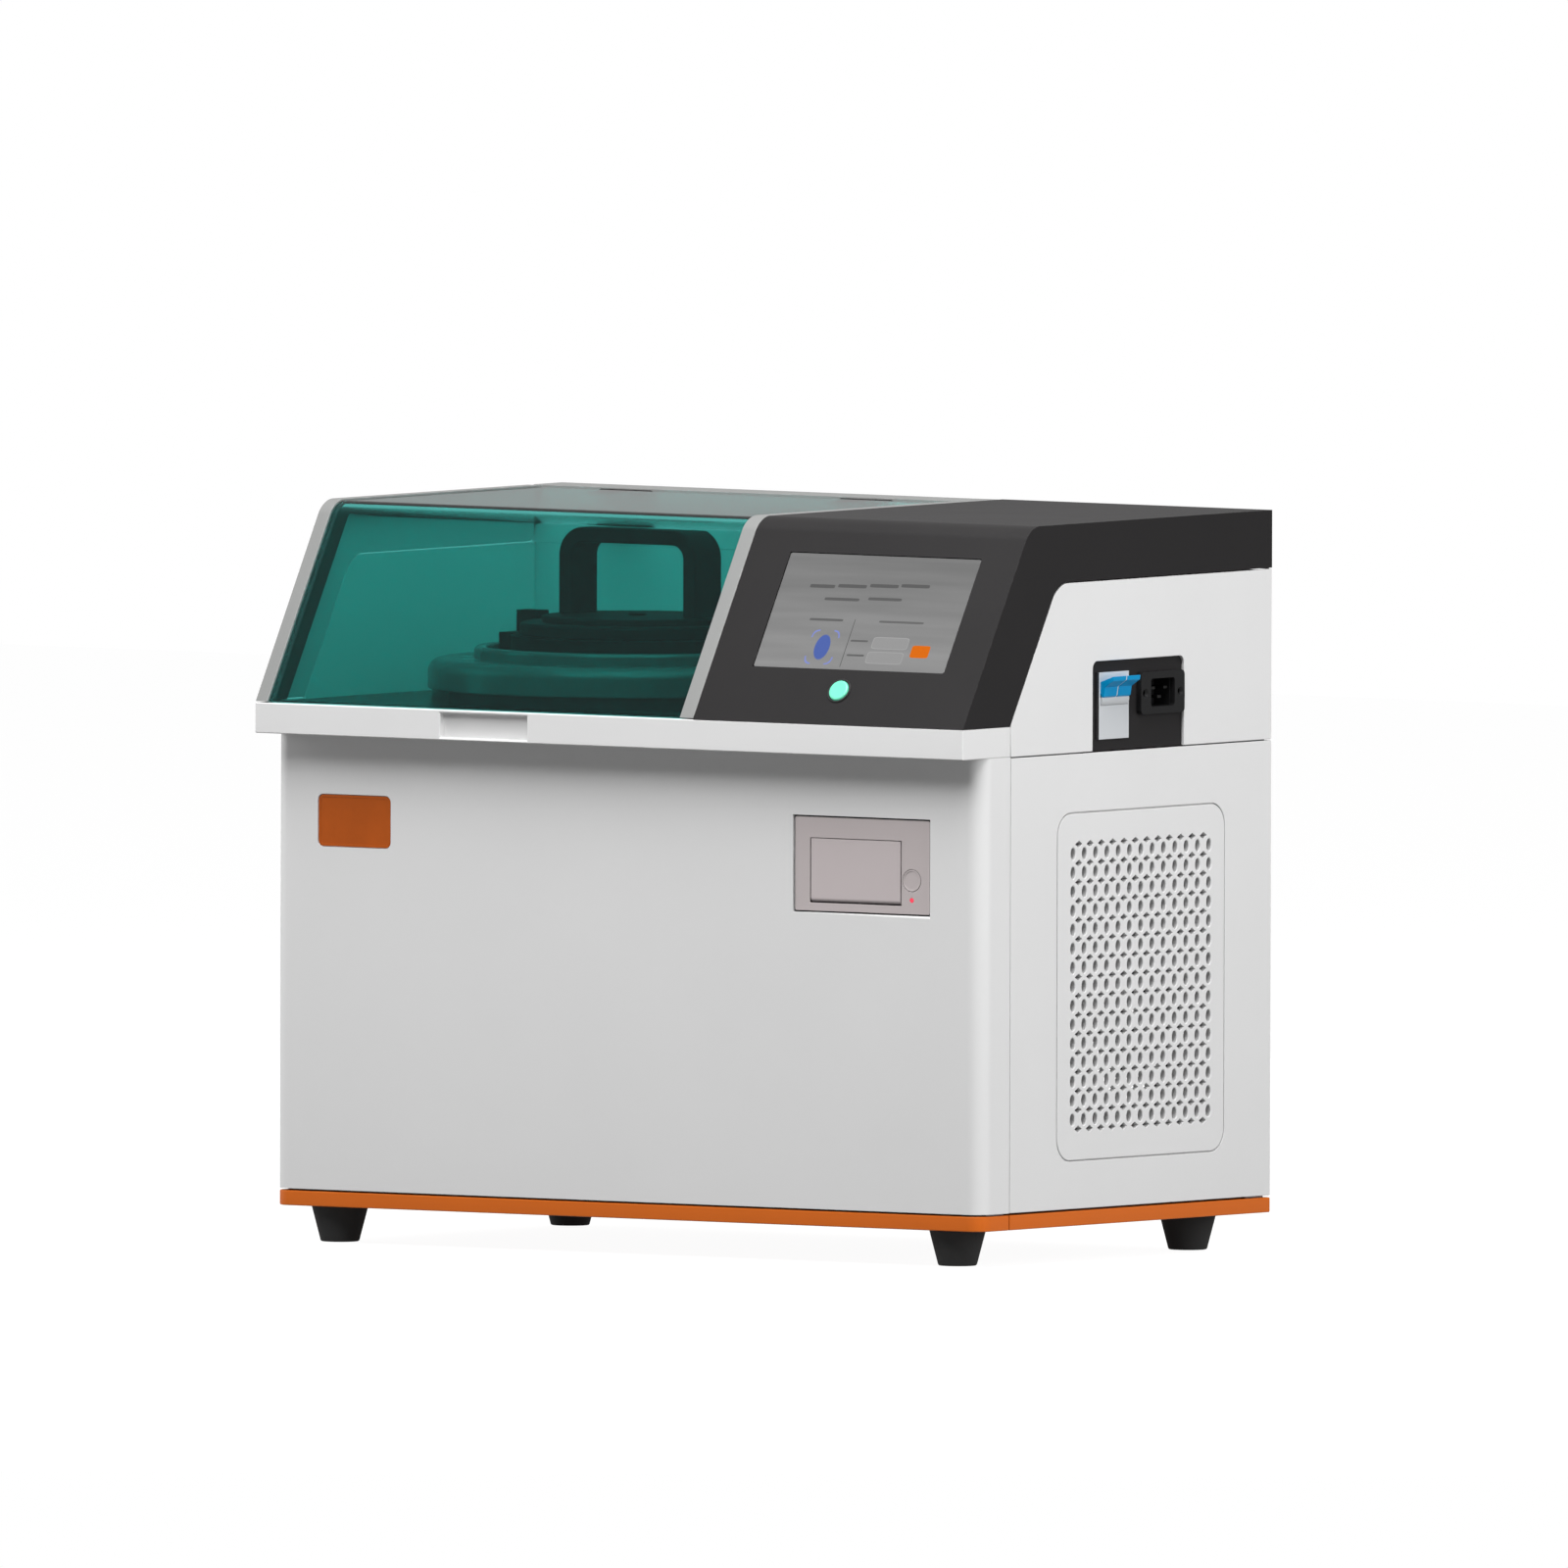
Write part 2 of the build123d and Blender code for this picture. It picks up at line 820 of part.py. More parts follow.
def make_control_hood():
    """Charcoal hood: bent front and top, side band on the right and a rear wall."""
    skin = fold_sheet(0, wall, hood_left, right_x, rear_y, deck_z)
    outer = fold_path(0, 0, bend_radius, rear_y, deck_z)
    inner = band_path(panel_gap, rear_y, deck_z)
    hood = skin + fold_strip(outer, inner, inner_right, right_x)
    hood += block(hood_left, right_x, rear_y - wall, rear_y, band_z, top_z - wall)
    screen = slope_plane(screen_x(), screen_above_rim)
    opening = Rectangle(screen_width + 2 * screen_gap, screen_height + 2 * screen_gap)
    hood -= extrude(screen * opening, amount=wall * 2, both=True)
    start = slope_plane(hood_middle(), start_above_rim)
    return hood - extrude(start * Circle(start_body_radius + seal_gap), amount=wall * 2, both=True)


def hood_middle():
    """X of the hood's middle."""
    return (hood_left + right_x) / 2


def screen_x():
    """X of the screen's middle."""
    return hood_middle() + screen_offset


def make_rear_beam():
    """Grey beam across the rear that carries the cover's hinges, open below."""
    x1 = left_x + cover_width
    section = [(beam_y, band_z), (rear_y, band_z), (rear_y, top_z), (beam_y, top_z)]
    face = rounded_face(section, {2: beam_round})
    beam = extrude(Plane.YZ.offset(left_x) * face, amount=x1 - left_x)
    return beam - block(inner_left, x1 - wall, beam_y + wall, rear_y - wall, band_z - 1, top_z - wall)


def make_touch_screen():
    """Glass of the touch screen, slightly below the hood's surface."""
    place = slope_plane(screen_x(), screen_above_rim, screen_recess)
    return extrude(place * Rectangle(screen_width, screen_height), amount=-glass_thickness)


def make_screen_module():
    """Display module behind the glass, between the divider wall and the right side wall."""
    x0 = hood_left + wall + module_side_gap
    x1 = inner_right - module_side_gap
    place = slope_plane((x0 + x1) / 2, screen_above_rim, wall + seal_gap)
    return extrude(place * Rectangle(x1 - x0, screen_height + 2 * module_margin), amount=-module_thickness)


def make_start_button():
    """Lit button cap with its stem; it travels into the hood."""
    place = slope_plane(hood_middle(), start_above_rim)
    top = place * Pos(0, 0, start_ring_height)
    cap = extrude(top * Circle(start_radius), amount=-start_ring_height - start_cap_thickness)
    stem = place * Pos(0, 0, -start_cap_thickness)
    return cap + extrude(stem * Circle(button_stem_radius), amount=-start_travel - start_cap_thickness)


def make_start_button_body():
    """Ring and barrel of the start button, screwed into the hood."""
    place = slope_plane(hood_middle(), start_above_rim)
    bore = Circle(start_radius + start_hole_gap)
    bezel = extrude(place * (Circle(start_ring_radius) - bore), amount=start_ring_height)
    barrel = extrude(place * (Circle(start_body_radius) - bore), amount=-start_body_length)
    floor = place * Pos(0, 0, -start_body_length)
    return bezel + barrel + extrude(floor * Circle(start_body_radius), amount=wall)


def make_control_board():
    """Circuit board on four standoffs on the deck plate, beside the divider wall."""
    x0 = hood_left + wall + board_side_gap
    x1 = x0 + board_width
    y1 = rear_y - board_from_rear
    y0 = y1 - board_length
    z0 = deck_top + board_stand
    top = z0 + board_thickness
    board = block(x0, x1, y0, y1, z0, top)
    for x in (x0 + screw_inset, x1 - screw_inset):
        for y in (y0 + screw_inset, y1 - screw_inset):
            board += disc(screw_head_radius, deck_top, z0, x, y)
    middle = (x0 + x1) / 2
    for y in (y0 + chip_from_end, y1 - chip_from_end):
        board += block(
            middle - chip_size / 2, middle + chip_size / 2,
            y - chip_size / 2, y + chip_size / 2,
            top, top + chip_height,
        )
    y = (y0 + y1) / 2
    return board + block(
        x1 - terminal_margin - terminal_depth, x1 - terminal_margin,
        y - terminal_length / 2, y + terminal_length / 2,
        top, top + terminal_height,
    )


def power_point(from_front, above_seam, x):
    """Plane on the power plate, its local Z pointing to the right."""
    return Plane(
        origin=(x, front_y + power_front + from_front, seam_z + above_seam),
        x_dir=(0, 1, 0),
        z_dir=(1, 0, 0),
    )


def breaker_middle():
    """Middle of the breaker's face, from the power plate's front and bottom."""
    return breaker_front_gap + breaker_width / 2, breaker_bottom + breaker_height / 2


def inlet_middle():
    """Middle of the mains inlet, from the power plate's front and bottom."""
    return inlet_from_front, inlet_bottom + inlet_height / 2


def make_power_plate():
    """Dark plate behind the side wall's opening, with windows for breaker and inlet."""
    y0 = front_y + power_front - power_margin
    y1 = y0 + power_width + 2 * power_margin
    plate = block(inner_right - wall, inner_right, y0, y1, seam_z, seam_z + power_height + power_margin)
    y, z = breaker_middle()
    cut = Rectangle(breaker_width + 2 * seal_gap, breaker_height + 2 * seal_gap)
    plate -= extrude(power_point(y, z, inner_right - wall - 1) * cut, amount=wall + 2)
    y, z = inlet_middle()
    cut = Rectangle(inlet_body_width + 2 * seal_gap, inlet_body_height + 2 * seal_gap)
    return plate - extrude(power_point(y, z, inner_right - wall - 1) * cut, amount=wall + 2)


def lever_axis():
    """Point on the breaker lever's axis, as X and Z."""
    return inner_right + breaker_proud - lever_hub_radius / 2, seam_z + breaker_bottom + lever_height


def make_circuit_breaker():
    """Two-pole breaker with a well for its lever."""
    y, z = breaker_middle()
    face_x = inner_right + breaker_proud
    face = power_point(y, z, face_x) * Rectangle(breaker_width, breaker_height)
    body = extrude(face, amount=-breaker_length)
    lever_x, lever_z = lever_axis()
    y0 = front_y + power_front + breaker_front_gap + lever_side_gap
    y1 = y0 + breaker_width - 2 * lever_side_gap
    return body - rod_y(lever_hub_radius + seat_gap, lever_x, y0, y1, lever_z)


def make_breaker_lever():
    """Blue double lever: a hub in the breaker's well and two halves that flare at the tip."""
    x, z = lever_axis()
    y0 = front_y + power_front + breaker_front_gap + lever_side_gap + seat_gap
    y1 = y0 + breaker_width - 2 * lever_side_gap - 2 * seat_gap
    hub = rod_y(lever_hub_radius, x, y0, y1, z)
    half = lever_thickness / 2
    blade = [
        (0, -half),
        (lever_bend, -half),
        (lever_reach, half),
        (lever_reach, half + lever_lip),
        (lever_crest, half),
        (0, half),
    ]
    section = Plane(origin=(x, y0, z), x_dir=(1, 0, 0), z_dir=(0, -1, 0))
    outline = rounded_face(blade, {1: lever_round, 4: lever_round})
    paddle = extrude(section * Rot(0, 0, lever_up) * outline, amount=-(y1 - y0))
    middle = (y0 + y1) / 2
    split = block(
        x + lever_hub_radius, x + lever_reach * 2,
        middle - lever_split / 2, middle + lever_split / 2,
        z - lever_reach, z + lever_reach * 2,
    )
    return hub + (paddle - split)


def make_mains_inlet():
    """Mains inlet: flange on the power plate, body behind it, an open socket and its three pins."""
    y, z = inlet_middle()
    flange = extrude(
        power_point(y, z, inner_right) * RectangleRounded(inlet_width, inlet_height, inlet_corner),
        amount=inlet_flange,
    )
    body = extrude(
        power_point(y, z, inner_right) * Rectangle(inlet_body_width, inlet_body_height),
        amount=-inlet_body_length + inlet_flange,
    )
    face = power_point(y, z, inner_right + inlet_flange)
    cavity = extrude(face * Rectangle(inlet_cavity_width, inlet_cavity_height), amount=-inlet_cavity_depth)
    screws = Sketch() + GridLocations(inlet_screw_pitch, 1, 2, 1) * Circle(inlet_screw_radius)
    socket = flange + body - cavity - extrude(face * screws, amount=-inlet_flange)
    floor = power_point(y, z, inner_right + inlet_flange - inlet_cavity_depth)
    blade = Rectangle(pin_width, pin_thickness)
    places = [(-pin_spread / 2, pin_rise), (pin_spread / 2, pin_rise), (0, -pin_rise)]
    solids = [extrude(floor * Pos(*place) * blade, amount=pin_length).solid() for place in places]
    return Compound([socket.solid()] + solids)


def printer_place():
    """Middle of the printer's face, as X, Y and Z."""
    return right_x - printer_from_right, cabinet_front_y + printer_recess, seam_z - printer_below_seam


def door_limits():
    """Limits of the printer door's opening, as X and Z."""
    x, _, z = printer_place()
    x0 = x + door_offset - door_width / 2
    z0 = z - printer_height / 2 + door_bottom
    return x0, x0 + door_width, z0, z0 + door_height


def door_axis():
    """Point on the printer door's axis, as Y and Z."""
    _, y, _ = printer_place()
    return y + door_thickness, door_limits()[2] + door_gap + door_thickness


def make_printer_bezel():
    """Front frame of the printer, with a flange that bears on the front cover from behind."""
    x, y, z = printer_place()
    x0, x1, z0, z1 = door_limits()
    bezel = block(
        x - printer_width / 2, x + printer_width / 2, y, y + bezel_thickness,
        z - printer_height / 2, z + printer_height / 2,
    )
    half_width = printer_width / 2 + bezel_flange
    half_height = printer_height / 2 + bezel_flange
    flange_y = cabinet_front_y + sheet
    bezel += block(
        x - half_width, x + half_width, flange_y, flange_y + bezel_flange_thickness,
        z - half_height, z + half_height,
    )
    bezel -= block(x0, x1, y - 1, y + bezel_thickness + 1, z0, z1)
    bottom = z - printer_height / 2
    ends = (y - 1, y + bezel_thickness + 1)
    bezel -= rod_y(button_radius + seat_gap, x + button_offset, *ends, bottom + button_height)
    bezel -= rod_y(lamp_radius + seal_gap, x + button_offset, *ends, bottom + lamp_height)
    axis_y, axis_z = door_axis()
    reach = door_pin_length + seat_gap
    return bezel - rod_x(door_pin_radius + slide_gap, x0 - reach, x1 + reach, axis_y, axis_z)


def make_printer_housing():
    """Printer case behind the bezel: an open paper bay, and a solid end behind the button."""
    x, y, z = printer_place()
    x0, x1, _, _ = door_limits()
    y0 = y + bezel_thickness
    half_width = printer_width / 2 - housing_margin
    half_height = printer_height / 2 - housing_margin
    case = block(x - half_width, x + half_width, y0, y0 + housing_depth, z - half_height, z + half_height)
    bay = block(
        x0 - 1, x1 + seat_gap, y0 - 1, y0 + housing_depth - housing_wall,
        z - half_height + housing_wall, z + half_height - housing_wall,
    )
    switch_z = z - printer_height / 2 + button_height
    well = rod_y(button_stem_radius + seat_gap, x + button_offset, y0 - 1, y0 + button_travel * 3, switch_z)
    return case - bay - well


def make_printer_door():
    """Paper door: a plate with a barrel and two pins at its foot, and two arms for the roller."""
    x0, x1, _, z1 = door_limits()
    y, z = door_axis()
    left = x0 + door_gap
    right = x1 - door_gap
    door = block(left, right, y - door_thickness, y, z, z1 - door_gap)
    door += rod_x(door_thickness, left, right, y, z)
    door += rod_x(door_pin_radius, x0 - door_pin_length, x1 + door_pin_length, y, z)
    middle = (x0 + x1) / 2
    roller_y = y + platen_depth + platen_radius / 2
    for way in (-1, 1):
        inner = middle + way * (platen_length / 2 + seat_gap)
        ends = sorted((inner, inner + way * door_arm))
        arm = block(
            *ends, y, roller_y + platen_shaft_radius * 2,
            z + platen_reach - platen_shaft_radius * 2, z + platen_reach + platen_shaft_radius * 2,
        )
        bore = platen_shaft_radius + slide_gap
        door += arm - rod_x(bore, ends[0] - 1, ends[1] + 1, roller_y, z + platen_reach)
    return door


def make_platen_roller():
    """Rubber roller on its shaft, carried by the door's arms."""
    x0, x1, _, _ = door_limits()
    y, z = door_axis()
    middle = (x0 + x1) / 2
    roller_y = y + platen_depth + platen_radius / 2
    roller_z = z + platen_reach
    half = platen_length / 2
    shaft = half + door_arm
    roller = rod_x(platen_radius, middle - half, middle + half, roller_y, roller_z)
    return roller + rod_x(platen_shaft_radius, middle - shaft, middle + shaft, roller_y, roller_z)


def make_printer_button():
    """Round feed button with a stem that runs into the printer's case."""
    x, y, z = printer_place()
    height = z - printer_height / 2 + button_height
    cap = rod_y(button_radius, x + button_offset, y, y + button_thickness, height)
    stem_end = y + bezel_thickness + button_travel
    return cap + rod_y(button_stem_radius, x + button_offset, y, stem_end, height)


def make_printer_lamp():
    """Small round lamp in the bezel."""
    x, y, z = printer_place()
    height = z - printer_height / 2 + lamp_height
    return rod_y(lamp_radius, x + button_offset, y, y + bezel_thickness, height)


def glazing_limits():
    """Ends of the glazing between the cover's frames, as X."""
    return left_x + frame_width + glazing_gap, left_x + cover_width - frame_right_width - glazing_gap


def make_cover_glazing():
    """Tinted sheet of the cover, bent once at the top of the sloped front."""
    x0, x1 = glazing_limits()
    thickness = frame_thickness - glazing_inset
    return fold_sheet(glazing_inset, thickness, x0, x1, cover_rear_y, deck_z + cover_floor_gap)


def make_cover_frames():
    """Grey frames of the cover: the left one with the band down its outer side, the right by the hood."""
    z0 = deck_z + cover_floor_gap
    left = fold_sheet(0, frame_thickness, left_x, left_x + frame_width, cover_rear_y, z0)
    outer = fold_path(0, 0, bend_radius, cover_rear_y, z0)
    inner = band_path(panel_gap, cover_rear_y, z0)
    left += fold_strip(outer, inner, left_x, inner_left)
    x1 = left_x + cover_width
    right = fold_sheet(0, frame_thickness, x1 - frame_right_width, x1, cover_rear_y, z0)
    right += fold_sheet(0, frame_thickness + seal_depth, x1 - sheet, x1, cover_rear_y, z0)
    return Compound([left.solid(), right.solid()])


def make_cover_seals():
    """Black seals under both edges of the glazing."""
    x0, x1 = glazing_limits()
    z0 = deck_z + cover_floor_gap
    left = fold_sheet(frame_thickness, seal_depth, inner_left, x0 + glazing_lap, cover_rear_y, z0)
    right_end = left_x + cover_width - sheet
    right = fold_sheet(frame_thickness, seal_depth, x1 - glazing_lap, right_end, cover_rear_y, z0)
    return Compound([left.solid(), right.solid()])


def hinge_places():
    """Middle of each hinge, as X."""
    x0 = left_x + hinge_inset + hinge_length / 2
    return x0, left_x + cover_width - hinge_inset - hinge_length / 2


def make_hinge_brackets():
    """Fixed hinge halves with their pins: two knuckles each, on a leaf against the rear beam."""
    halves = []
    outer = (hinge_length - hinge_middle) / 2 - seat_gap
    for x in hinge_places():
        for x0 in (x - hinge_length / 2, x + hinge_length / 2 - outer):
            knuckle = rod_x(knuckle_radius, x0, x0 + outer, hinge_y, hinge_z)
            knuckle += block(x0, x0 + outer, hinge_y, beam_y, hinge_z - hinge_leaf, hinge_z)
            halves.append(knuckle - rod_x(hinge_pin_radius, x0 - 1, x0 + outer + 1, hinge_y, hinge_z))
    half = hinge_length / 2
    pins = [rod_x(hinge_pin_radius, x - half, x + half, hinge_y, hinge_z) for x in hinge_places()]
    return Compound([piece.solid() for piece in halves + pins])


def make_hinge_arms():
    """Moving hinge halves: one knuckle each, on a leaf under the glazing."""
    arms = []
    z1 = top_z - frame_thickness
    for x in hinge_places():
        x0 = x - hinge_middle / 2
        arm = rod_x(knuckle_radius, x0, x0 + hinge_middle, hinge_y, hinge_z)
        arm += block(x0, x0 + hinge_middle, hinge_y - hinge_leaf_reach, hinge_y, z1 - hinge_leaf, z1)
        bore = hinge_pin_radius + slide_gap
        arms.append(arm - rod_x(bore, x0 - 1, x0 + hinge_middle + 1, hinge_y, hinge_z))
    return Compound([arm.solid() for arm in arms])


# Heights in the vessel stack
collar_z = deck_top + base_ring_height
collar_top = collar_z + collar_height
flange_top = collar_top + flange_thickness
ring_top = flange_top + ring_height
vessel_floor = flange_top - vessel_depth
lid_z = ring_top + seat_gap
step_z = lid_z + lid_thickness
lid_top = step_z + lid_step


def make_vessel():
    """Deep-drawn pressure vessel with a flange on top and a bore for the agitator shaft."""
    outer = vessel_bore + vessel_wall
    bottom = vessel_floor - vessel_wall
    points = [
        (seal_outer_radius, bottom),
        (outer, bottom),
        (outer, collar_top),
        (vessel_flange, collar_top),
        (vessel_flange, flange_top),
        (vessel_bore, flange_top),
        (vessel_bore, vessel_floor),
        (seal_outer_radius, vessel_floor),
    ]
    rounds = {1: vessel_bottom_round, 6: vessel_bottom_round - vessel_wall}
    return turned(points, rounds, vessel_x, vessel_y)


def make_band_heater():
    """Band heater round the lower part of the vessel."""
    inner = vessel_bore + vessel_wall + seal_gap
    z0 = vessel_floor + heater_rise
    return ring(inner + heater_thickness, inner, z0, z0 + heater_height, vessel_x, vessel_y)


def make_insulation_jacket():
    """Insulating jacket round the vessel and heater, under the deck."""
    inner = vessel_bore + vessel_wall + seal_gap + heater_thickness + seat_gap
    z1 = collar_z - seat_gap
    return ring(jacket_radius, inner, z1 - jacket_height, z1, vessel_x, vessel_y)


def make_collar_base_ring():
    """Dark ring on the deck plate under the collar."""
    return ring(base_ring_radius, jacket_radius + deck_hole_gap, deck_top, collar_z, vessel_x, vessel_y)


def make_vessel_collar():
    """Light collar that carries the vessel's flange, with a rounded shoulder and a raised drip guard."""
    guard_top = collar_top + guard_height
    points = [
        (collar_bore, collar_z),
        (collar_radius, collar_z),
        (collar_radius, collar_top),
        (guard_radius, collar_top),
        (guard_radius, guard_top),
        (guard_radius - guard_width, guard_top),
        (guard_radius - guard_width, collar_top),
        (collar_bore, collar_top),
    ]
    return turned(points, {2: collar_round, 4: guard_round, 5: guard_round}, vessel_x, vessel_y)


def ring_sector(outer, inner, angle, z0, z1):
    """Sector of a ring at the vessel's axis, centred on +X."""
    half = math.radians(angle / 2)
    reach = outer * 2
    wedge = make_face(
        Polyline(
            (0, 0),
            (reach * math.cos(half), -reach * math.sin(half)),
            (reach * math.cos(half), reach * math.sin(half)),
            close=True,
        )
    )
    sector = (Circle(outer) - Circle(inner)) & wedge
    return Pos(vessel_x, vessel_y, z0) * extrude(sector, amount=z1 - z0)


def turn_about_vessel(piece, angle):
    """Piece turned about the vessel's axis."""
    return Pos(vessel_x, vessel_y, 0) * Rot(0, 0, angle) * Pos(-vessel_x, -vessel_y, 0) * piece


def make_locking_ring():
    """Bayonet ring over the vessel's flange: three ledges inside and two clamp blocks outside."""
    ring_body = ring(ring_radius, ring_bore, flange_top, ring_top, vessel_x, vessel_y)
    skirt = vessel_flange + seat_gap
    ring_body += ring(skirt + skirt_width, skirt, collar_top, flange_top, vessel_x, vessel_y)
    ledge_z = ring_top - ledge_height
    ledge = ring_sector(ring_bore + ledge_root, ledge_radius, ledge_angle, ledge_z, ring_top)
    for number in range(lug_count):
        ring_body += turn_about_vessel(ledge, number * 360 / lug_count)
    half = block_width / 2
    for way in (-1, 1):
        upper = sorted((vessel_x + way * block_reach, vessel_x + way * block_inner))
        foot_start = vessel_x + way * (block_inner + block_foot_setback)
        lower = sorted((foot_start, foot_start + way * block_foot))
        post = sorted((vessel_x + way * block_reach, vessel_x + way * (lid_radius + block_post_gap)))
        blocks = block(*upper, vessel_y - half, vessel_y + half, flange_top, ring_top)
        blocks += block(*lower, vessel_y - half, vessel_y + half, collar_top, flange_top)
        blocks += block(*post, vessel_y, vessel_y + block_post_width, ring_top, ring_top + block_post)
        blocks -= disc(ring_bore, flange_top - 1, ring_top + 1, vessel_x, vessel_y)
        blocks -= disc(skirt, collar_top - 1, flange_top + 1, vessel_x, vessel_y)
        ring_body += blocks
    return ring_body


def make_vessel_lid():
    """Vessel lid: a stepped disc on a plug that has three bayonet lugs."""
    plug_z = flange_top + gasket_height
    points = [
        (0, plug_z),
        (plug_radius, plug_z),
        (plug_radius, lid_z),
        (lid_radius, lid_z),
        (lid_radius, step_z),
        (lid_step_radius, step_z),
        (lid_step_radius, lid_top),
        (0, lid_top),
    ]
    lid = turned(points, {3: lid_lower_round, 4: lid_round, 6: lid_step_round}, vessel_x, vessel_y)
    lug_z = ring_top - ledge_height - seat_gap
    lug = ring_sector(lug_radius, plug_radius - ledge_root, lug_angle, lug_z - lug_height, lug_z)
    for number in range(lug_count):
        lid += turn_about_vessel(lug, number * 360 / lug_count)
    return lid + disc(boss_radius, lid_top, lid_top + boss_height, vessel_x, vessel_y)


def make_lid_gasket():
    """Flat gasket under the plug, just above the vessel's flange."""
    z1 = flange_top + gasket_height
    return ring(gasket_outer, gasket_inner, flange_top + seal_gap, z1, vessel_x, vessel_y)


def make_lid_handle():
    """Arched handle of flat bar that stands on the lid."""
    half = handle_width / 2
    inner = half - handle_thickness
    top = lid_top + handle_rise
    under = top - handle_thickness
    outer_face = rounded_face(
        [(-half, lid_top), (-half, top), (half, top), (half, lid_top)],
        {1: handle_outer_round, 2: handle_outer_round},
    )
    inner_face = rounded_face(
        [(-inner, lid_top - 1), (-inner, under), (inner, under), (inner, lid_top - 1)],
        {1: handle_inner_round, 2: handle_inner_round},
    )
    place = Plane(origin=(vessel_x, vessel_y + handle_depth / 2, 0), x_dir=(1, 0, 0), z_dir=(0, -1, 0))
    return extrude(place * (outer_face - inner_face), amount=handle_depth)


def make_bag_suspender():
    """Trays for the sample bags on four legs, with spacers between them and a post through them."""
    z0 = vessel_floor + suspender_rise
    bore = post_radius + post_gap
    tray = Circle(tray_radius) - Circle(bore)
    for number in range(tray_holes):
        tray -= Rot(0, 0, 45 + number * 360 / tray_holes) * Pos(tray_hole_circle, 0) * Circle(tray_hole)
    solids = []
    for number in range(tray_count):
        z = z0 + number * tray_pitch
        solids.append((Pos(vessel_x, vessel_y, z) * extrude(tray, amount=tray_thickness)).solid())
        if number > 0:
            spacer = ring(spacer_radius, bore, z - tray_pitch + tray_thickness, z, vessel_x, vessel_y)
            solids.append(spacer.solid())
    top = z0 + (tray_count - 1) * tray_pitch + tray_thickness
    post = disc(post_radius, z0, top, vessel_x, vessel_y)
    post += disc(grip_radius, top, top + suspender_grip, vessel_x, vessel_y)
    solids.append(post.solid())
    leg = Pos(vessel_x + suspender_foot, vessel_y, vessel_floor) * extrude(
        Rectangle(suspender_leg / 2, suspender_leg), amount=suspender_rise
    )
    for number in range(4):
        solids.append(turn_about_vessel(leg, number * 90).solid())
    return Compound(solids)


def make_agitator():
    """Agitator: shaft, hub and four blades near the vessel's floor."""
    z0 = vessel_floor + hub_rise
    shaft_end = stand_top() - motor_bore_depth + seat_gap
    rotor = disc(shaft_radius, shaft_end, z0 + hub_height, vessel_x, vessel_y)
    rotor += disc(hub_radius, z0, z0 + hub_height, vessel_x, vessel_y)
    blade = block(
        vessel_x + hub_radius - blade_root, vessel_x + blade_reach,
        vessel_y - blade_thickness / 2, vessel_y + blade_thickness / 2,
        z0 + blade_margin, z0 + hub_height - blade_margin,
    )
    for number in range(blade_count):
        rotor += turn_about_vessel(blade, 45 + number * 360 / blade_count)
    return rotor


def make_agitator_seal():
    """Shaft seal housing pressed into the vessel's bottom."""
    z1 = vessel_floor + seal_gap
    return ring(seal_outer_radius, shaft_radius + slide_gap, z1 - seal_height, z1, vessel_x, vessel_y)


def stand_top():
    """Height of the motor stand's top face."""
    return vessel_floor - vessel_wall - motor_below


def make_agitator_motor():
    """Geared motor under the stand: its gearbox, a narrower can below, and the shaft's bore."""
    z1 = stand_top()
    can_z = z1 - gearbox_length
    end_z = z1 - motor_length
    points = [
        (0, end_z),
        (motor_radius, end_z),
        (motor_radius, can_z),
        (gearbox_radius, can_z),
        (gearbox_radius, z1),
        (0, z1),
    ]
    motor = turned(points, {1: motor_round}, vessel_x, vessel_y)
    return motor - disc(shaft_radius + slide_gap, z1 - motor_bore_depth, z1 + 1, vessel_x, vessel_y)


def make_motor_stand():
    """Table on four legs that carries the motor."""
    z1 = stand_top() + stand_thickness
    half = stand_width / 2
    stand = block(vessel_x - half, vessel_x + half, vessel_y - half, vessel_y + half, stand_top(), z1)
    stand -= disc(shaft_radius + stand_hole_gap, stand_top() - 1, z1 + 1, vessel_x, vessel_y)
    for x_way in (-1, 1):
        for y_way in (-1, 1):
            x = sorted((vessel_x + x_way * half, vessel_x + x_way * (half - stand_leg)))
            y = sorted((vessel_y + y_way * half, vessel_y + y_way * (half - stand_leg)))
            stand += block(*x, *y, base_top, stand_top())
    return stand


def fan_place():
    """Middle of the exhaust fan, as X and Z."""
    return right_x - fan_from_right, base_top + fan_above_base


def fan_front():
    """Y of the fan's inner face."""
    return rear_y - sheet - fan_depth


def make_fan_housing():
    """Square fan frame with a round duct, its spokes and the rotor's axle."""
    x, z = fan_place()
    half = fan_size / 2
    y0 = fan_front()
    y1 = rear_y - sheet
    frame = block(x - half, x + half, y0, y1, z - half, z + half)
    frame -= rod_y(fan_bore, x, y0 - 1, y1 + 1, z)
    hub = rod_y(fan_hub_radius, x, y1 - wall, y1, z)
    spoke = block(x, x + fan_bore + 1, y1 - wall, y1, z - fan_spoke / 2, z + fan_spoke / 2)
    for number in range(fan_spokes):
        turn = Pos(x, 0, z) * Rot(0, number * 360 / fan_spokes, 0) * Pos(-x, 0, -z)
        hub += turn * spoke
    return frame + hub + rod_y(fan_axle_radius, x, y0 + wall, y1 - wall, z)


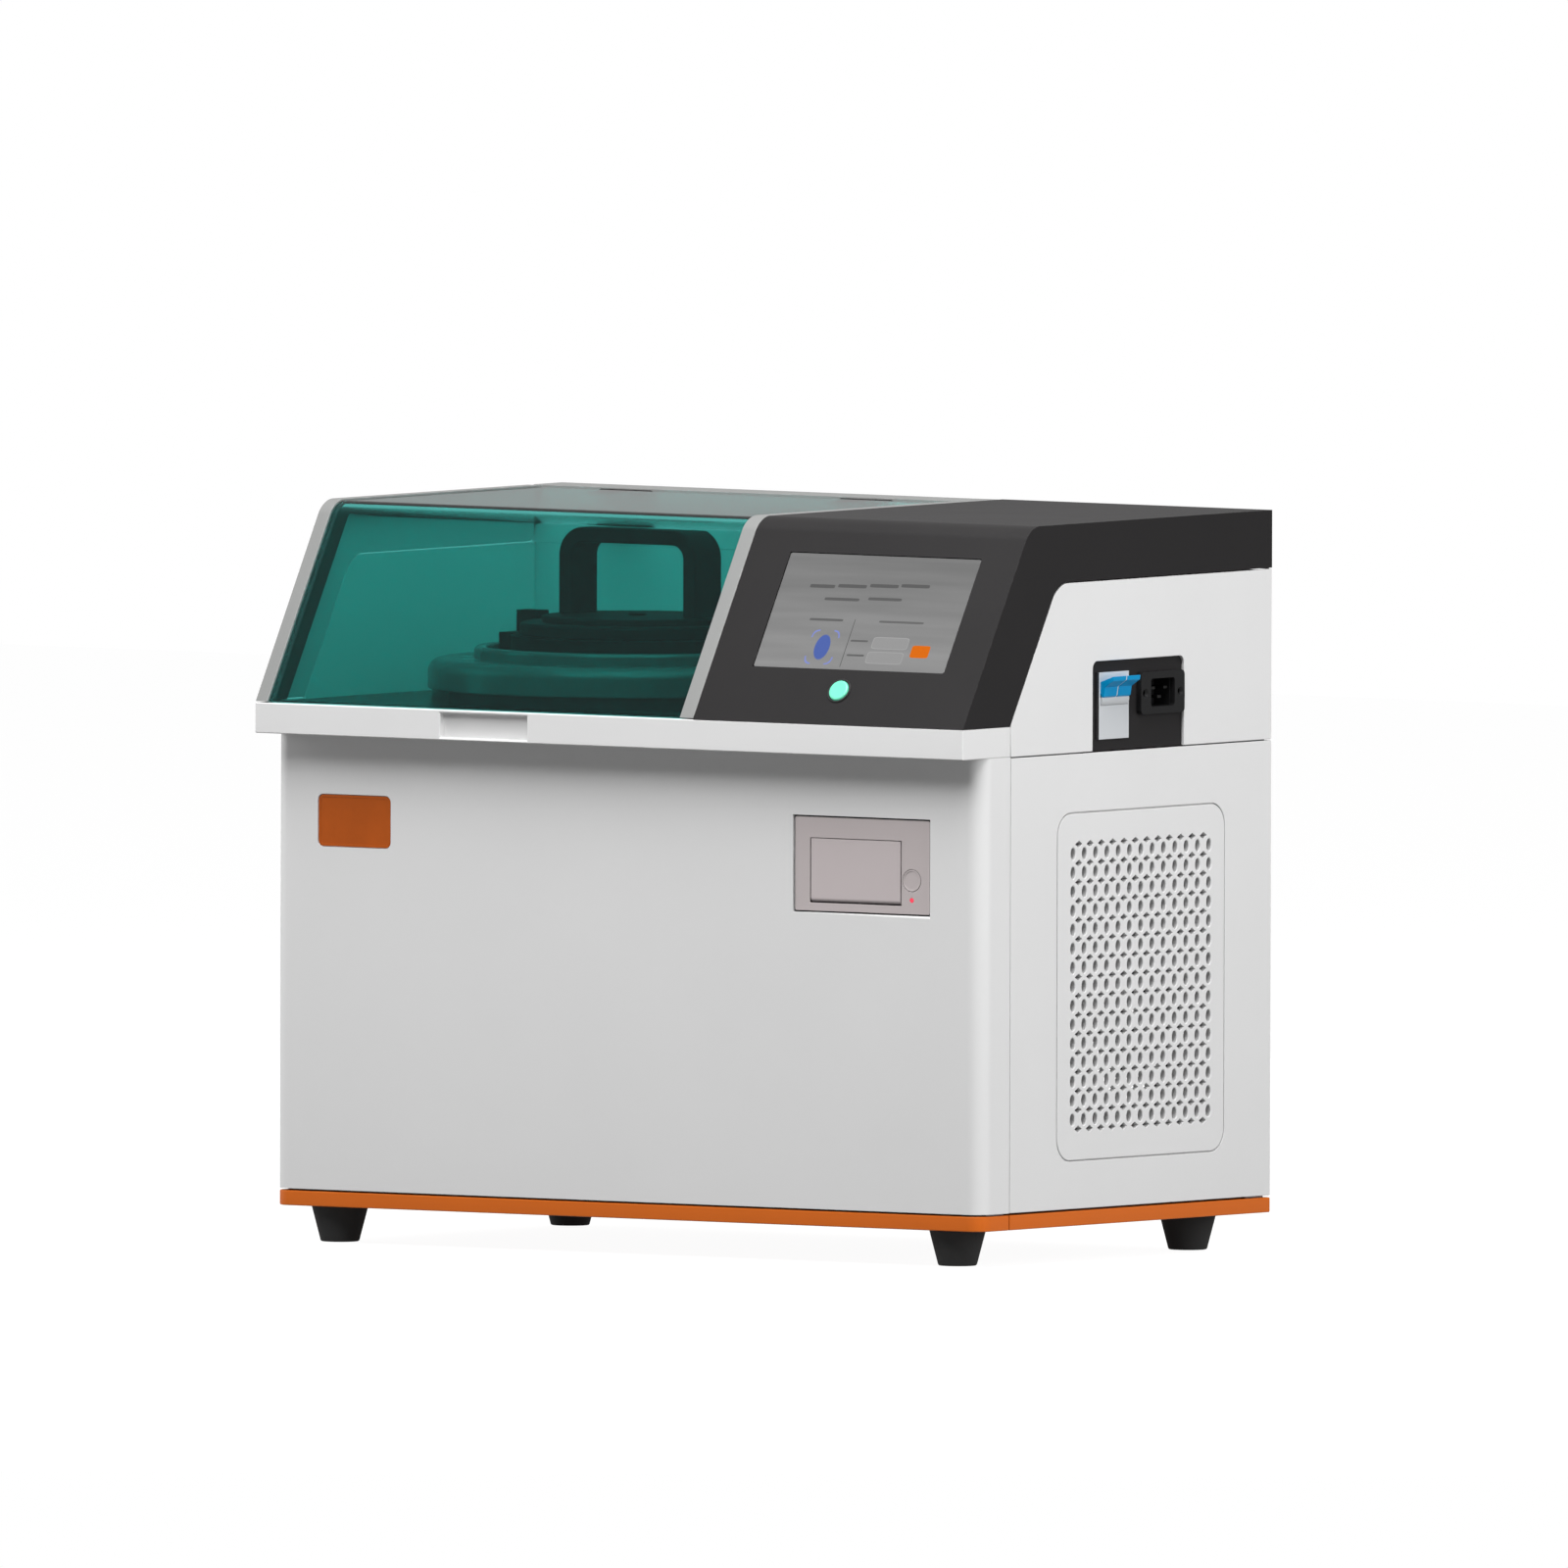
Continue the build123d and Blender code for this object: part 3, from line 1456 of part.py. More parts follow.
def make_fan_rotor():
    """Fan rotor: a hub on the axle with pitched blades."""
    x, z = fan_place()
    y0 = fan_front() + wall
    y1 = rear_y - sheet - wall - seat_gap
    rotor = rod_y(fan_hub_radius, x, y0, y1, z)
    root = fan_hub_radius - fan_blade_root
    tip = fan_bore - fan_tip_gap
    blade = Box(tip - root, fan_wall, y1 - y0 - 2 * fan_blade_margin)
    middle = (tip + root) / 2
    for number in range(fan_blades):
        place = Pos(x, (y0 + y1) / 2, z) * Rot(0, number * 360 / fan_blades, 0) * Pos(middle, 0, 0)
        rotor += place * Rot(90 - fan_blade_angle, 0, 0) * blade
    return rotor - rod_y(fan_axle_radius + slide_gap, x, y0 - 1, y1 + 1, z)


def make_power_supply():
    """Enclosed power supply on the base plate, with a terminal ledge."""
    x1 = right_x - supply_from_right
    y0 = cabinet_front_y + supply_from_front
    y1 = y0 + supply_width
    top = base_top + supply_height
    case = block(x1 - supply_length, x1, y0, y1, base_top, top)
    return case - block(
        x1 - supply_ledge, x1 + 1,
        y0 + supply_ledge_margin, y1 - supply_ledge_margin,
        base_top + supply_ledge_height, top + 1,
    )


def make_reagent_pump():
    """Reagent pump: a square foot and a stepped barrel with rounded edges."""
    x = left_x + pump_from_left + pump_width / 2
    y = rear_y - pump_from_rear - pump_width / 2
    half = pump_width / 2
    foot_top = base_top + pump_foot_height
    shoulder = foot_top + pump_barrel_height
    cap_top = shoulder + pump_cap_height
    points = [
        (0, foot_top),
        (pump_barrel_radius, foot_top),
        (pump_barrel_radius, shoulder),
        (pump_cap_radius, shoulder),
        (pump_cap_radius, cap_top),
        (0, cap_top),
    ]
    foot = block(x - half, x + half, y - half, y + half, base_top, foot_top)
    return foot + turned(points, {2: pump_round, 4: pump_round}, x, y)


def valve_places():
    """Middle of each solenoid valve, as X."""
    x0 = left_x + valve_from_left
    return x0, x0 + valve_pitch


def make_solenoid_valves():
    """Two solenoid valves on the base plate, each a body with its coil on top."""
    y = rear_y - valve_from_rear
    half = valve_width / 2
    top = base_top + valve_height
    valves = []
    for x in valve_places():
        valve = block(x - half, x + half, y - half, y + half, base_top, top)
        valve += disc(valve_coil_radius, top, top + valve_coil_height, x, y)
        valves.append(valve.solid())
    return Compound(valves)


def port_places():
    """X of each hose port on the rear."""
    return [left_x + port_left + number * port_pitch for number in range(3)]


def make_hose_ports():
    """Three bulkhead hose ports: a flange and a spigot outside, a nut inside."""
    z = base_top + port_above_base
    inner_y = rear_y - sheet - port_nut
    ports = []
    for x in port_places():
        port = rod_y(port_radius, x, inner_y, rear_y + port_length, z)
        port += rod_y(port_collar_radius, x, inner_y, rear_y - sheet, z)
        port += rod_y(port_collar_radius, x, rear_y, rear_y + port_flange, z)
        port -= rod_y(port_bore, x, inner_y - 1, rear_y + port_length + 1, z)
        ports.append(port.solid())
    return Compound(ports)


def make_rear_screws():
    """Screws of the rear cover, their heads sunk flush."""
    screws = []
    for x, z in screw_places():
        screw = rod_y(screw_shank_radius, x, rear_y - screw_length, rear_y - screw_head_height, z)
        screws.append(screw + rod_y(screw_head_radius, x, rear_y - screw_head_height, rear_y, z))
    return Compound([screw.solid() for screw in screws])


sub_parts = {
    "feet": make_feet,
    "base_plate": make_base_plate,
    "base_front_trim": make_base_front_trim,
    "chassis_frame": make_chassis_frame,
    "front_cover": make_front_cover,
    "side_cover_left": make_side_cover_left,
    "side_cover_right": make_side_cover_right,
    "vent_panel": make_vent_panel,
    "rear_cover": make_rear_cover,
    "badge_plate": make_badge_plate,
    "printer_bezel": make_printer_bezel,
    "printer_housing": make_printer_housing,
    "printer_door": make_printer_door,
    "platen_roller": make_platen_roller,
    "printer_button": make_printer_button,
    "printer_lamp": make_printer_lamp,
    "deck_rim": make_deck_rim,
    "deck_plate": make_deck_plate,
    "side_wall_left": make_side_wall_left,
    "side_wall_right": make_side_wall_right,
    "divider_wall": make_divider_wall,
    "chamber_back_wall": make_chamber_back_wall,
    "rear_upper_cover": make_rear_upper_cover,
    "rear_beam": make_rear_beam,
    "control_hood": make_control_hood,
    "touch_screen": make_touch_screen,
    "screen_module": make_screen_module,
    "start_button": make_start_button,
    "start_button_body": make_start_button_body,
    "control_board": make_control_board,
    "power_plate": make_power_plate,
    "circuit_breaker": make_circuit_breaker,
    "breaker_lever": make_breaker_lever,
    "mains_inlet": make_mains_inlet,
    "power_supply": make_power_supply,
    "cover_glazing": make_cover_glazing,
    "cover_frames": make_cover_frames,
    "cover_seals": make_cover_seals,
    "hinge_brackets": make_hinge_brackets,
    "hinge_arms": make_hinge_arms,
    "vessel": make_vessel,
    "band_heater": make_band_heater,
    "insulation_jacket": make_insulation_jacket,
    "collar_base_ring": make_collar_base_ring,
    "vessel_collar": make_vessel_collar,
    "locking_ring": make_locking_ring,
    "vessel_lid": make_vessel_lid,
    "lid_gasket": make_lid_gasket,
    "lid_handle": make_lid_handle,
    "bag_suspender": make_bag_suspender,
    "agitator": make_agitator,
    "agitator_seal": make_agitator_seal,
    "agitator_motor": make_agitator_motor,
    "motor_stand": make_motor_stand,
    "fan_housing": make_fan_housing,
    "fan_rotor": make_fan_rotor,
    "reagent_pump": make_reagent_pump,
    "solenoid_valves": make_solenoid_valves,
    "hose_ports": make_hose_ports,
    "rear_screws": make_rear_screws,
}

for name, make in sub_parts.items():
    export_step(make(), os.path.join("parts", name + ".step"))
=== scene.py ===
import math
import bmesh
import bpy
from bpy.props import FloatProperty, FloatVectorProperty, IntProperty, PointerProperty
from mathutils import Matrix, Vector


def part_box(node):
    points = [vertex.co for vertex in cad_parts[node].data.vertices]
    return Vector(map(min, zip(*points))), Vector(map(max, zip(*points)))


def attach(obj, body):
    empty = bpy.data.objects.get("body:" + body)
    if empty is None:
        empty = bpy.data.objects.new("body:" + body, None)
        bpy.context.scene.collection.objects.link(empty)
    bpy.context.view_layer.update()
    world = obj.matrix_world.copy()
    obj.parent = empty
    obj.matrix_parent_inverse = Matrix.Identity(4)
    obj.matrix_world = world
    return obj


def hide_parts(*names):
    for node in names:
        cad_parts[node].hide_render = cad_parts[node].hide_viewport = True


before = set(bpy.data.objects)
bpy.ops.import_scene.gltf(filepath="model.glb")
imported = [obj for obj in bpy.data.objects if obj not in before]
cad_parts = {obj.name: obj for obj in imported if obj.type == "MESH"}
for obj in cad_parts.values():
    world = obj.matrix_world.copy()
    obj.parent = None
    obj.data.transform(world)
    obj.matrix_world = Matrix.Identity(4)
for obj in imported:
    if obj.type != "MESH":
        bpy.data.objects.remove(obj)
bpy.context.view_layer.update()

bl_info = {
    "name": "Fiber Analyzer Builder",
    "version": (1, 0, 0),
    "blender": (4, 5, 0),
    "location": "3D Viewport > Sidebar > Analyzer",
    "description": "Models and finishes a bench fiber analyzer round its packed frame",
    "category": "Object",
}

MM = 0.001
# In millimetres: how far cutters reach past a piece, how near an edge counts as at a place, and
# how near two points are one
FAR = 10.0
NEAR = 0.1
SAME = 0.01
ROUND_STEPS = 96
SHARP = 40.0


def limits(node):
    """Lowest and highest corners of a CAD node, in millimetres."""
    return [[value / MM for value in corner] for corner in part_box(node)]


def centre_of(node):
    """Middle of a CAD node, in millimetres."""
    return [(a + b) / 2 for a, b in zip(*limits(node))]


def around(node, margin, axis, start, end):
    """Corners of a block along one axis, round a node's outline grown by a margin."""
    low, high = limits(node)
    low = [value - margin for value in low]
    high = [value + margin for value in high]
    low[axis], high[axis] = start, end
    return low, high


FRONT_Y = limits("deck_rim")[0][1]
DECK_Z = limits("deck_rim")[1][2]
TOP_Z = limits("control_hood")[1][2]


def length(name, value, text):
    """Length property in metres, from a value in millimetres."""
    return FloatProperty(name=name, description=text, default=value * MM, unit="LENGTH", precision=4)


def angle(name, value, text):
    """Angle property, from a value in degrees."""
    return FloatProperty(name=name, description=text, default=math.radians(value), subtype="ANGLE")


def count(name, value, text):
    """Whole number property."""
    return IntProperty(name=name, description=text, default=value, min=1)


def colour(name, value, text):
    """Linear colour property."""
    return FloatVectorProperty(
        name=name, description=text, default=value, size=3, subtype="COLOR", min=0.0, max=1.0
    )


class AnalyzerSizes(bpy.types.PropertyGroup):
    """Sizes of the visible forms."""

    front_lean: angle("Front lean", 30.4, "Lean of the sloped front from upright")
    bend_radius: length("Bend radius", 18.5, "Radius of the bend at the top of the sloped front")
    band_front: length("Side band, front", 46.6, "Width of the side band below the sloped front")
    band_top: length("Side band, top", 38.3, "Height of the side band below the top")
    band_radius: length("Side band radius", 20.0, "Radius of the side band's inner corner")
    cabinet_corner: length("Cabinet corner", 12.0, "Radius of the cabinet's front corners")
    sheet: length("Sheet", 2.5, "Thickness of the covers")
    edge_round: length("Edge round", 0.6, "Small round on sheet edges")
    soft_round: length("Soft round", 1.2, "Larger round on moulded edges")
    foot_top: length("Foot top", 19.0, "Radius of a foot at its top")
    foot_tip: length("Foot tip", 12.75, "Radius of a foot at its tip")
    frame_thickness: length("Cover frame", 5.5, "Thickness of the cover's frames")
    frame_left: length("Left frame", 9.5, "Width of the cover's left frame")
    frame_right: length("Right frame", 11.0, "Width of the cover's right frame")
    frame_reach: length("Frame reach", 12.7, "Length of the frames' ends past the glazing")
    frame_rear_round: length("Frame rear round", 6.0, "Radius of the frames' rear corners")
    glazing_inset: length("Glazing inset", 1.0, "Depth of the glazing below the frames' surface")
    seal_depth: length("Seal depth", 12.0, "Depth of the seals below the frames")
    seal_top: length("Seal depth, top", 3.0, "Depth of the seals below the flat top")
    vent_flange: length("Vent flange", 8.0, "Width of the vent's flange behind the side cover")
    vent_corner: length("Vent corner", 15.0, "Radius of the vent's corners")
    vent_pitch: length("Vent pitch", 13.0, "Spacing of the vent holes along a row")
    vent_row_pitch: length("Vent row pitch", 12.6, "Spacing of the rows of diamond holes")
    vent_rows: count("Vent rows", 16, "Rows of diamond holes")
    vent_columns: count("Vent columns", 12, "Diamond holes in a row")
    diamond_width: length("Diamond width", 7.7, "Width of a diamond hole")
    diamond_height: length("Diamond height", 4.5, "Height of a diamond hole")
    oval_width: length("Oval width", 5.4, "Width of an oval hole")
    oval_height: length("Oval height", 8.1, "Height of an oval hole")
    recess_depth: length("Finger recess", 3.8, "Depth of the finger recess at its top")
    recess_tilt: length("Finger recess tilt", 2.2, "Extra depth of the finger recess at its foot")
    collar_round: length("Collar shoulder", 8.5, "Radius of the collar's shoulder")
    handle_thickness: length("Handle thickness", 10.0, "Thickness of the lid handle's bar")
    handle_longer: length("Handle, longer", 5.0, "Length of the handle beyond the frame's handle")
    handle_higher: length("Handle, higher", 4.4, "Height of the handle above the frame's handle")
    handle_outer: length("Handle outer bend", 19.0, "Outer radius of the handle's bends")
    handle_inner: length("Handle inner bend", 9.0, "Inner radius of the handle's bends")
    screen_rise: length("Screen rise", 72.8, "Height of the screen's middle above the deck")
    screen_half: length("Screen half", 42.8, "Half height of the screen, along the slope")
    key_rise: length("Start key rise", 22.0, "Height of the start key above the deck")
    key_radius: length("Start key", 7.3, "Radius of the lit start key")
    key_ring: length("Start key ring", 8.9, "Outer radius of the start key's ring")
    lever_drum: length("Lever drum", 5.1, "Radius of the drum that carries the breaker's lever")
    feed_radius: length("Feed key", 7.2, "Radius of the printer's feed key")
    camera_azimuth: angle("Azimuth", 35.2, "Camera angle round the object")
    camera_elevation: angle("Elevation", 2.96, "Camera angle above the horizon")
    camera_roll: angle("Roll", 0.1719, "Turn of the picture")
    camera_width: length("Picture width", 1039.0, "Width that the picture covers")


class AnalyzerColours(bpy.types.PropertyGroup):
    """Base colours of the finishes."""

    white: colour("White paint", (0.72, 0.72, 0.72), "Covers and rim")
    # Inner paint is the white paint darkened to 0.84 of itself as painted shade inside the chamber
    inner: colour("Inner paint", (0.6048, 0.6048, 0.6048), "White paint inside the chamber")
    orange: colour("Orange paint", (0.63, 0.135, 0.012), "Base")
    plate: colour("Orange plate", (0.42, 0.082, 0.006), "Bare plate on the front")
    charcoal: colour("Charcoal paint", (0.0195, 0.0185, 0.019), "Control hood")
    frame_grey: colour("Frame grey", (0.215, 0.218, 0.215), "Cover frames and rear beam")
    acrylic: colour("Tinted acrylic", (0.066, 0.42, 0.385), "Glazing of the cover")
    acrylic_shade: colour("Acrylic shade", (0.42, 0.615, 0.6), "Light that passes one face of the glazing")
    deck: colour("Deck", (0.02, 0.021, 0.022), "Deck plate")
    collar: colour("Collar", (0.085, 0.087, 0.087), "Collar round the vessel")
    lid: colour("Lid", (0.006, 0.0065, 0.0065), "Vessel lid and ring")
    rubber: colour("Rubber", (0.007, 0.007, 0.007), "Feet, seals and roller")
    steel: colour("Steel", (0.55, 0.55, 0.56), "Bright steel")
    dark_steel: colour("Dark steel", (0.05, 0.05, 0.05), "Hinges, start key's ring and inlet pins")
    zinc: colour("Zinc", (0.42, 0.43, 0.44), "Plated frames and brackets")
    brass: colour("Brass", (0.6, 0.42, 0.17), "Fittings and heater")
    wool: colour("Wool", (0.66, 0.63, 0.55), "Insulating jacket")
    printer: colour("Printer grey", (0.5, 0.45, 0.45), "Printer face")
    door: colour("Door grey", (0.53, 0.475, 0.478), "Printer door")
    black: colour("Black plastic", (0.01, 0.01, 0.0105), "Inlet, fan and printer case")
    lamp: colour("Lamp red", (0.9, 0.05, 0.09), "Printer lamp")
    mint: colour("Key mint", (0.13, 0.61, 0.4), "Lit start key")
    screen: colour("Screen grey", (0.148, 0.148, 0.148), "Screen page")
    page_key: colour("Page key", (0.42, 0.085, 0.0), "Orange key on the page")
    page_halo: colour("Page halo", (0.13, 0.16, 0.4), "Corners round the oval on the page")
    page_oval: colour("Page oval", (0.045, 0.075, 0.24), "Oval on the page")
    silver: colour("Silver plastic", (0.56, 0.58, 0.6), "Breaker face")
    blue: colour("Lever blue", (0.0, 0.27, 0.56), "Breaker lever")
    board: colour("Board green", (0.012, 0.13, 0.045), "Circuit board")
    pump: colour("Pump blue", (0.06, 0.1, 0.22), "Pump paint")
    dust: colour("Dust", (0.5, 0.5, 0.48), "Dust on faces that look up")
    floor: colour("Floor", (0.11, 0.11, 0.11), "Floor")


def sizes():
    """Settings of the sizes, in metres."""
    return bpy.context.scene.analyzer_sizes


def size(name):
    """One size in millimetres."""
    return getattr(sizes(), name) / MM


def tint(name):
    """One base colour with full alpha."""
    return (*getattr(bpy.context.scene.analyzer_colours, name), 1.0)


# Modelling helpers; their lengths and places are in millimetres


def take(piece=None):
    """Leaves only the piece selected and active, or nothing selected."""
    bpy.ops.object.select_all(action="DESELECT")
    if piece is not None:
        piece.select_set(True)
        bpy.context.view_layer.objects.active = piece


def settle(piece):
    """Puts the object's place, turn and scale into its mesh."""
    take(piece)
    bpy.ops.object.transform_apply(location=True, rotation=True, scale=True)
    return piece


def name_new(name):
    """Names and settles the primitive that was just added."""
    piece = bpy.context.active_object
    piece.name = name
    return settle(piece)


def copy_of(piece, step):
    """Copy of a piece, with its own mesh, moved by a step."""
    take(piece)
    bpy.ops.object.duplicate()
    bpy.ops.transform.translate(value=Vector(step) * MM)
    return settle(bpy.context.active_object)


def add_block(low, high, name="cutter"):
    """Block between two corners."""
    take()
    bpy.ops.mesh.primitive_cube_add(
        size=1.0, location=[(a + b) / 2 * MM for a, b in zip(low, high)],
        scale=[(b - a) * MM for a, b in zip(low, high)],
    )
    return name_new(name)


def add_rod(centre, axis, start, end, radius, steps=64, name="cutter", end_radius=None):
    """Round bar or cone through a centre, from start to end along one axis."""
    take()
    first, last = Vector(centre) * MM, Vector(centre) * MM
    first[axis], last[axis] = start * MM, end * MM
    way = last - first
    top = radius if end_radius is None else end_radius
    bpy.ops.mesh.primitive_cone_add(
        vertices=steps, radius1=radius * MM, radius2=top * MM, depth=way.length,
        location=(first + last) / 2, rotation=way.to_track_quat("Z", "Y").to_euler(),
    )
    return name_new(name)


def pick(piece, kind, test=lambda part: True):
    """Edit mode with only the vertices, edges or faces that pass the test selected."""
    take(piece)
    bpy.ops.object.mode_set(mode="EDIT")
    bpy.ops.mesh.select_mode(type=kind)
    bpy.ops.mesh.select_all(action="DESELECT")
    mesh = bmesh.from_edit_mesh(piece.data)
    parts = {"VERT": mesh.verts, "EDGE": mesh.edges, "FACE": mesh.faces}[kind]
    chosen = [part for part in parts if test(part)]
    for part in chosen:
        part.select_set(True)
    bmesh.update_edit_mesh(piece.data)
    return len(chosen)


def leave():
    """Back to object mode."""
    bpy.ops.object.mode_set(mode="OBJECT")


def push(x, y, z):
    """Extrudes what is selected by a step."""
    bpy.ops.mesh.extrude_region_move(TRANSFORM_OT_translate={"value": Vector((x, y, z)) * MM})


def sink(piece, facing, border, depth):
    """Insets the faces that look one way and pushes them in."""
    pick(piece, "FACE", lambda face: face.normal.dot(Vector(facing)) > 0.9)
    bpy.ops.mesh.inset(thickness=border * MM)
    push(*(-depth * Vector(facing)))
    leave()


def slice_at(piece, point, normal, trims=True):
    """Cuts the faces of a piece at a plane; trims takes off what is past it and closes the cut."""
    pick(piece, "FACE")
    bpy.ops.mesh.bisect(plane_co=Vector(point) * MM, plane_no=normal, use_fill=trims, clear_outer=trims)
    leave()


def edges_at(axis, **places):
    """Test for edges that run along an axis at the places given for x, y or z."""
    def test(edge):
        first, last = (vertex.co for vertex in edge.verts)
        middle = (first + last) / 2 / MM
        return abs((last - first).normalized()[axis]) > 0.999 and all(
            abs(getattr(middle, way) - place) < NEAR for way, place in places.items()
        )

    return test


def round_edges(piece, test, radius, steps=6, turn=math.pi / 2):
    """Rounds the chosen edges; turn is the angle that the faces turn through there."""
    if pick(piece, "EDGE", test):
        bpy.ops.mesh.bevel(
            offset=radius * math.tan(turn / 2) * MM, segments=steps, affect="EDGES", clamp_overlap=False
        )
    leave()
    return piece


def rounded_bar(low, high, radius, axis, steps=8, name="cutter"):
    """Block whose four edges along one axis are rounded."""
    return round_edges(add_block(low, high, name), edges_at(axis), radius, steps)


def shape_with(piece, kind, **settings):
    """Adds one modifier and applies it."""
    take(piece)
    bpy.ops.object.modifier_add(type=kind)
    modifier = piece.modifiers[-1]
    for key, value in settings.items():
        setattr(modifier, key, value)
    bpy.ops.object.modifier_apply(modifier=modifier.name)
    return piece


def cut(piece, *cutters, keep=False):
    """Takes each cutter out of the piece, and removes the cutters unless they are kept."""
    for cutter in cutters:
        shape_with(piece, "BOOLEAN", operation="DIFFERENCE", solver="EXACT", object=cutter)
        if not keep:
            bpy.data.meshes.remove(cutter.data)
    return piece


def weld(piece, *others):
    """Joins other solids to the piece as one mesh."""
    take(piece)
    for other in others:
        other.select_set(True)
    bpy.ops.object.join()
    return piece


def soften(piece, width=None, steps=2, sharp=SHARP):
    """Small rounds on every edge that is sharper than an angle in degrees."""
    pick(piece, "VERT")
    bpy.ops.mesh.remove_doubles(threshold=SAME * MM)
    bpy.ops.mesh.dissolve_limited(angle_limit=math.radians(0.5))
    leave()
    return shape_with(
        piece, "BEVEL", width=(width or size("edge_round")) * MM, segments=steps, limit_method="ANGLE",
        angle_limit=math.radians(sharp), use_clamp_overlap=True, harden_normals=False,
    )


def finish(piece, slot, material, *nodes, body="cabinet"):
    """Shades, paints and seats a finished piece, and hides the nodes that it stands for."""
    take(piece)
    bpy.ops.object.shade_smooth_by_angle(angle=math.radians(30.0))
    shape_with(piece, "WEIGHTED_NORMAL", weight=50, keep_sharp=True)
    piece.data.materials.clear()
    piece.data.materials.append(material)
    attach(piece, body)
    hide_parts(*nodes)


def paint_part(piece, material, test):
    """Gives a second finish to the faces whose middle and normal pass the test."""
    piece.data.materials.append(material)
    for face in piece.data.polygons:
        if test(face.center / MM, face.normal):
            face.material_index = 1


def lean():
    """Lean of the sloped front, in radians."""
    return sizes().front_lean


def slope_point(above_deck):
    """Y and Z on the sloped front."""
    return FRONT_Y + above_deck * math.tan(lean()), DECK_Z + above_deck


def lay_on_slope(piece, x, above_deck):
    """Turns a piece that was made about the origin to the slope's normal and moves it there."""
    place = Matrix.Translation(Vector((x, *slope_point(above_deck))) * MM)
    piece.matrix_world = place @ Matrix.Rotation(math.pi / 2 - lean(), 4, "X")
    return settle(piece)


def folded_block(x0, x1, front_inset, top_inset, radius, y_end, z_start, name="cutter"):
    """Block under the folded front and top: its front is trimmed to the slope and its fold rounded."""
    top = TOP_Z - top_inset
    piece = add_block((x0, FRONT_Y - FAR, z_start), (x1, y_end, top), name)
    foot_y = FRONT_Y + front_inset / math.cos(lean())
    slice_at(piece, (0.0, foot_y, DECK_Z), (0.0, -math.cos(lean()), math.sin(lean())))
    fold = edges_at(0, y=foot_y + (top - DECK_Z) * math.tan(lean()), z=top)
    return round_edges(piece, fold, radius, steps=24, turn=math.pi / 2 - lean())


def lathe(name, centre, profile, steps=ROUND_STEPS):
    """Spins a profile of (radius, height) points round an upright axis."""
    take()
    radius, height = profile[0]
    start = Vector((centre[0] + radius, centre[1], height)) * MM
    bpy.ops.mesh.primitive_plane_add(size=MM, location=start)
    piece = name_new(name)
    pick(piece, "VERT")
    bpy.ops.mesh.merge(type="CENTER")
    for before, after in zip(profile, profile[1:]):
        step = Vector((after[0] - before[0], 0.0, after[1] - before[1])) * MM
        bpy.ops.mesh.extrude_vertices_move(TRANSFORM_OT_translate={"value": step})
    bpy.ops.mesh.select_all(action="SELECT")
    axis_point = Vector((centre[0], centre[1], 0.0)) * MM
    bpy.ops.mesh.spin(steps=steps, angle=2 * math.pi, center=axis_point, axis=(0.0, 0.0, 1.0))
    bpy.ops.mesh.select_all(action="SELECT")
    bpy.ops.mesh.remove_doubles(threshold=2 * SAME * MM)
    bpy.ops.mesh.normals_make_consistent(inside=False)
    leave()
    return piece


def arc(centre, radius, start, end, steps=10):
    """Points of an arc in a profile, in degrees from the outward direction."""
    points = []
    for number in range(steps + 1):
        turn = math.radians(start + (end - start) * number / steps)
        points.append((centre[0] + radius * math.cos(turn), centre[1] + radius * math.sin(turn)))
    return points


# Materials


def add_node(tree, kind, feeds=None, **settings):
    """Adds a shader node; feeds gives its inputs by name or number, each a socket or a plain value."""
    node = tree.nodes.new("ShaderNode" + kind)
    for key, value in settings.items():
        setattr(node, key, value)
    feed(tree, node, feeds or {})
    return node


def feed(tree, node, feeds):
    """Links or sets some inputs of a node."""
    for key, value in feeds.items():
        if isinstance(value, bpy.types.NodeSocket):
            tree.links.new(value, node.inputs[key])
        else:
            node.inputs[key].default_value = value


def calculate(tree, operation, first, second=0.0, kind="Math"):
    """Result of one sum on two values."""
    return add_node(tree, kind, {0: first, 1: second}, operation=operation).outputs[0]


def mix_colour(tree, factor, first, second):
    """Colour mix; each argument is a socket or a plain value."""
    return add_node(tree, "Mix", {0: factor, 6: first, 7: second}, data_type="RGBA").outputs[2]


def map_range(tree, value, start, end, low=0.0, high=1.0):
    """Maps a value from start..end to low..high."""
    feeds = {"Value": value, "From Min": start, "From Max": end, "To Min": low, "To Max": high}
    return add_node(tree, "MapRange", feeds).outputs["Result"]


def scale_noise(tree, value, low, high):
    """Maps a noise, which stays near its middle, to low..high."""
    return map_range(tree, value, 0.25, 0.75, low, high)


def shade(base, factor):
    """A colour made lighter or darker."""
    return (*[min(channel * factor, 1.0) for channel in base[:3]], 1.0)


def shader_group(name, inputs, fill):
    """Node group of that name; fill adds its nodes and returns its masks by name."""
    if name in bpy.data.node_groups:
        return bpy.data.node_groups[name]
    group = bpy.data.node_groups.new(name, "ShaderNodeTree")
    for label, kind in inputs.items():
        group.interface.new_socket(name=label, in_out="INPUT", socket_type="NodeSocket" + kind)
    masks = fill(group, group.nodes.new("NodeGroupInput").outputs)
    for label in masks:
        group.interface.new_socket(name=label, in_out="OUTPUT", socket_type="NodeSocketFloat")
    feed(group, group.nodes.new("NodeGroupOutput"), masks)
    return group


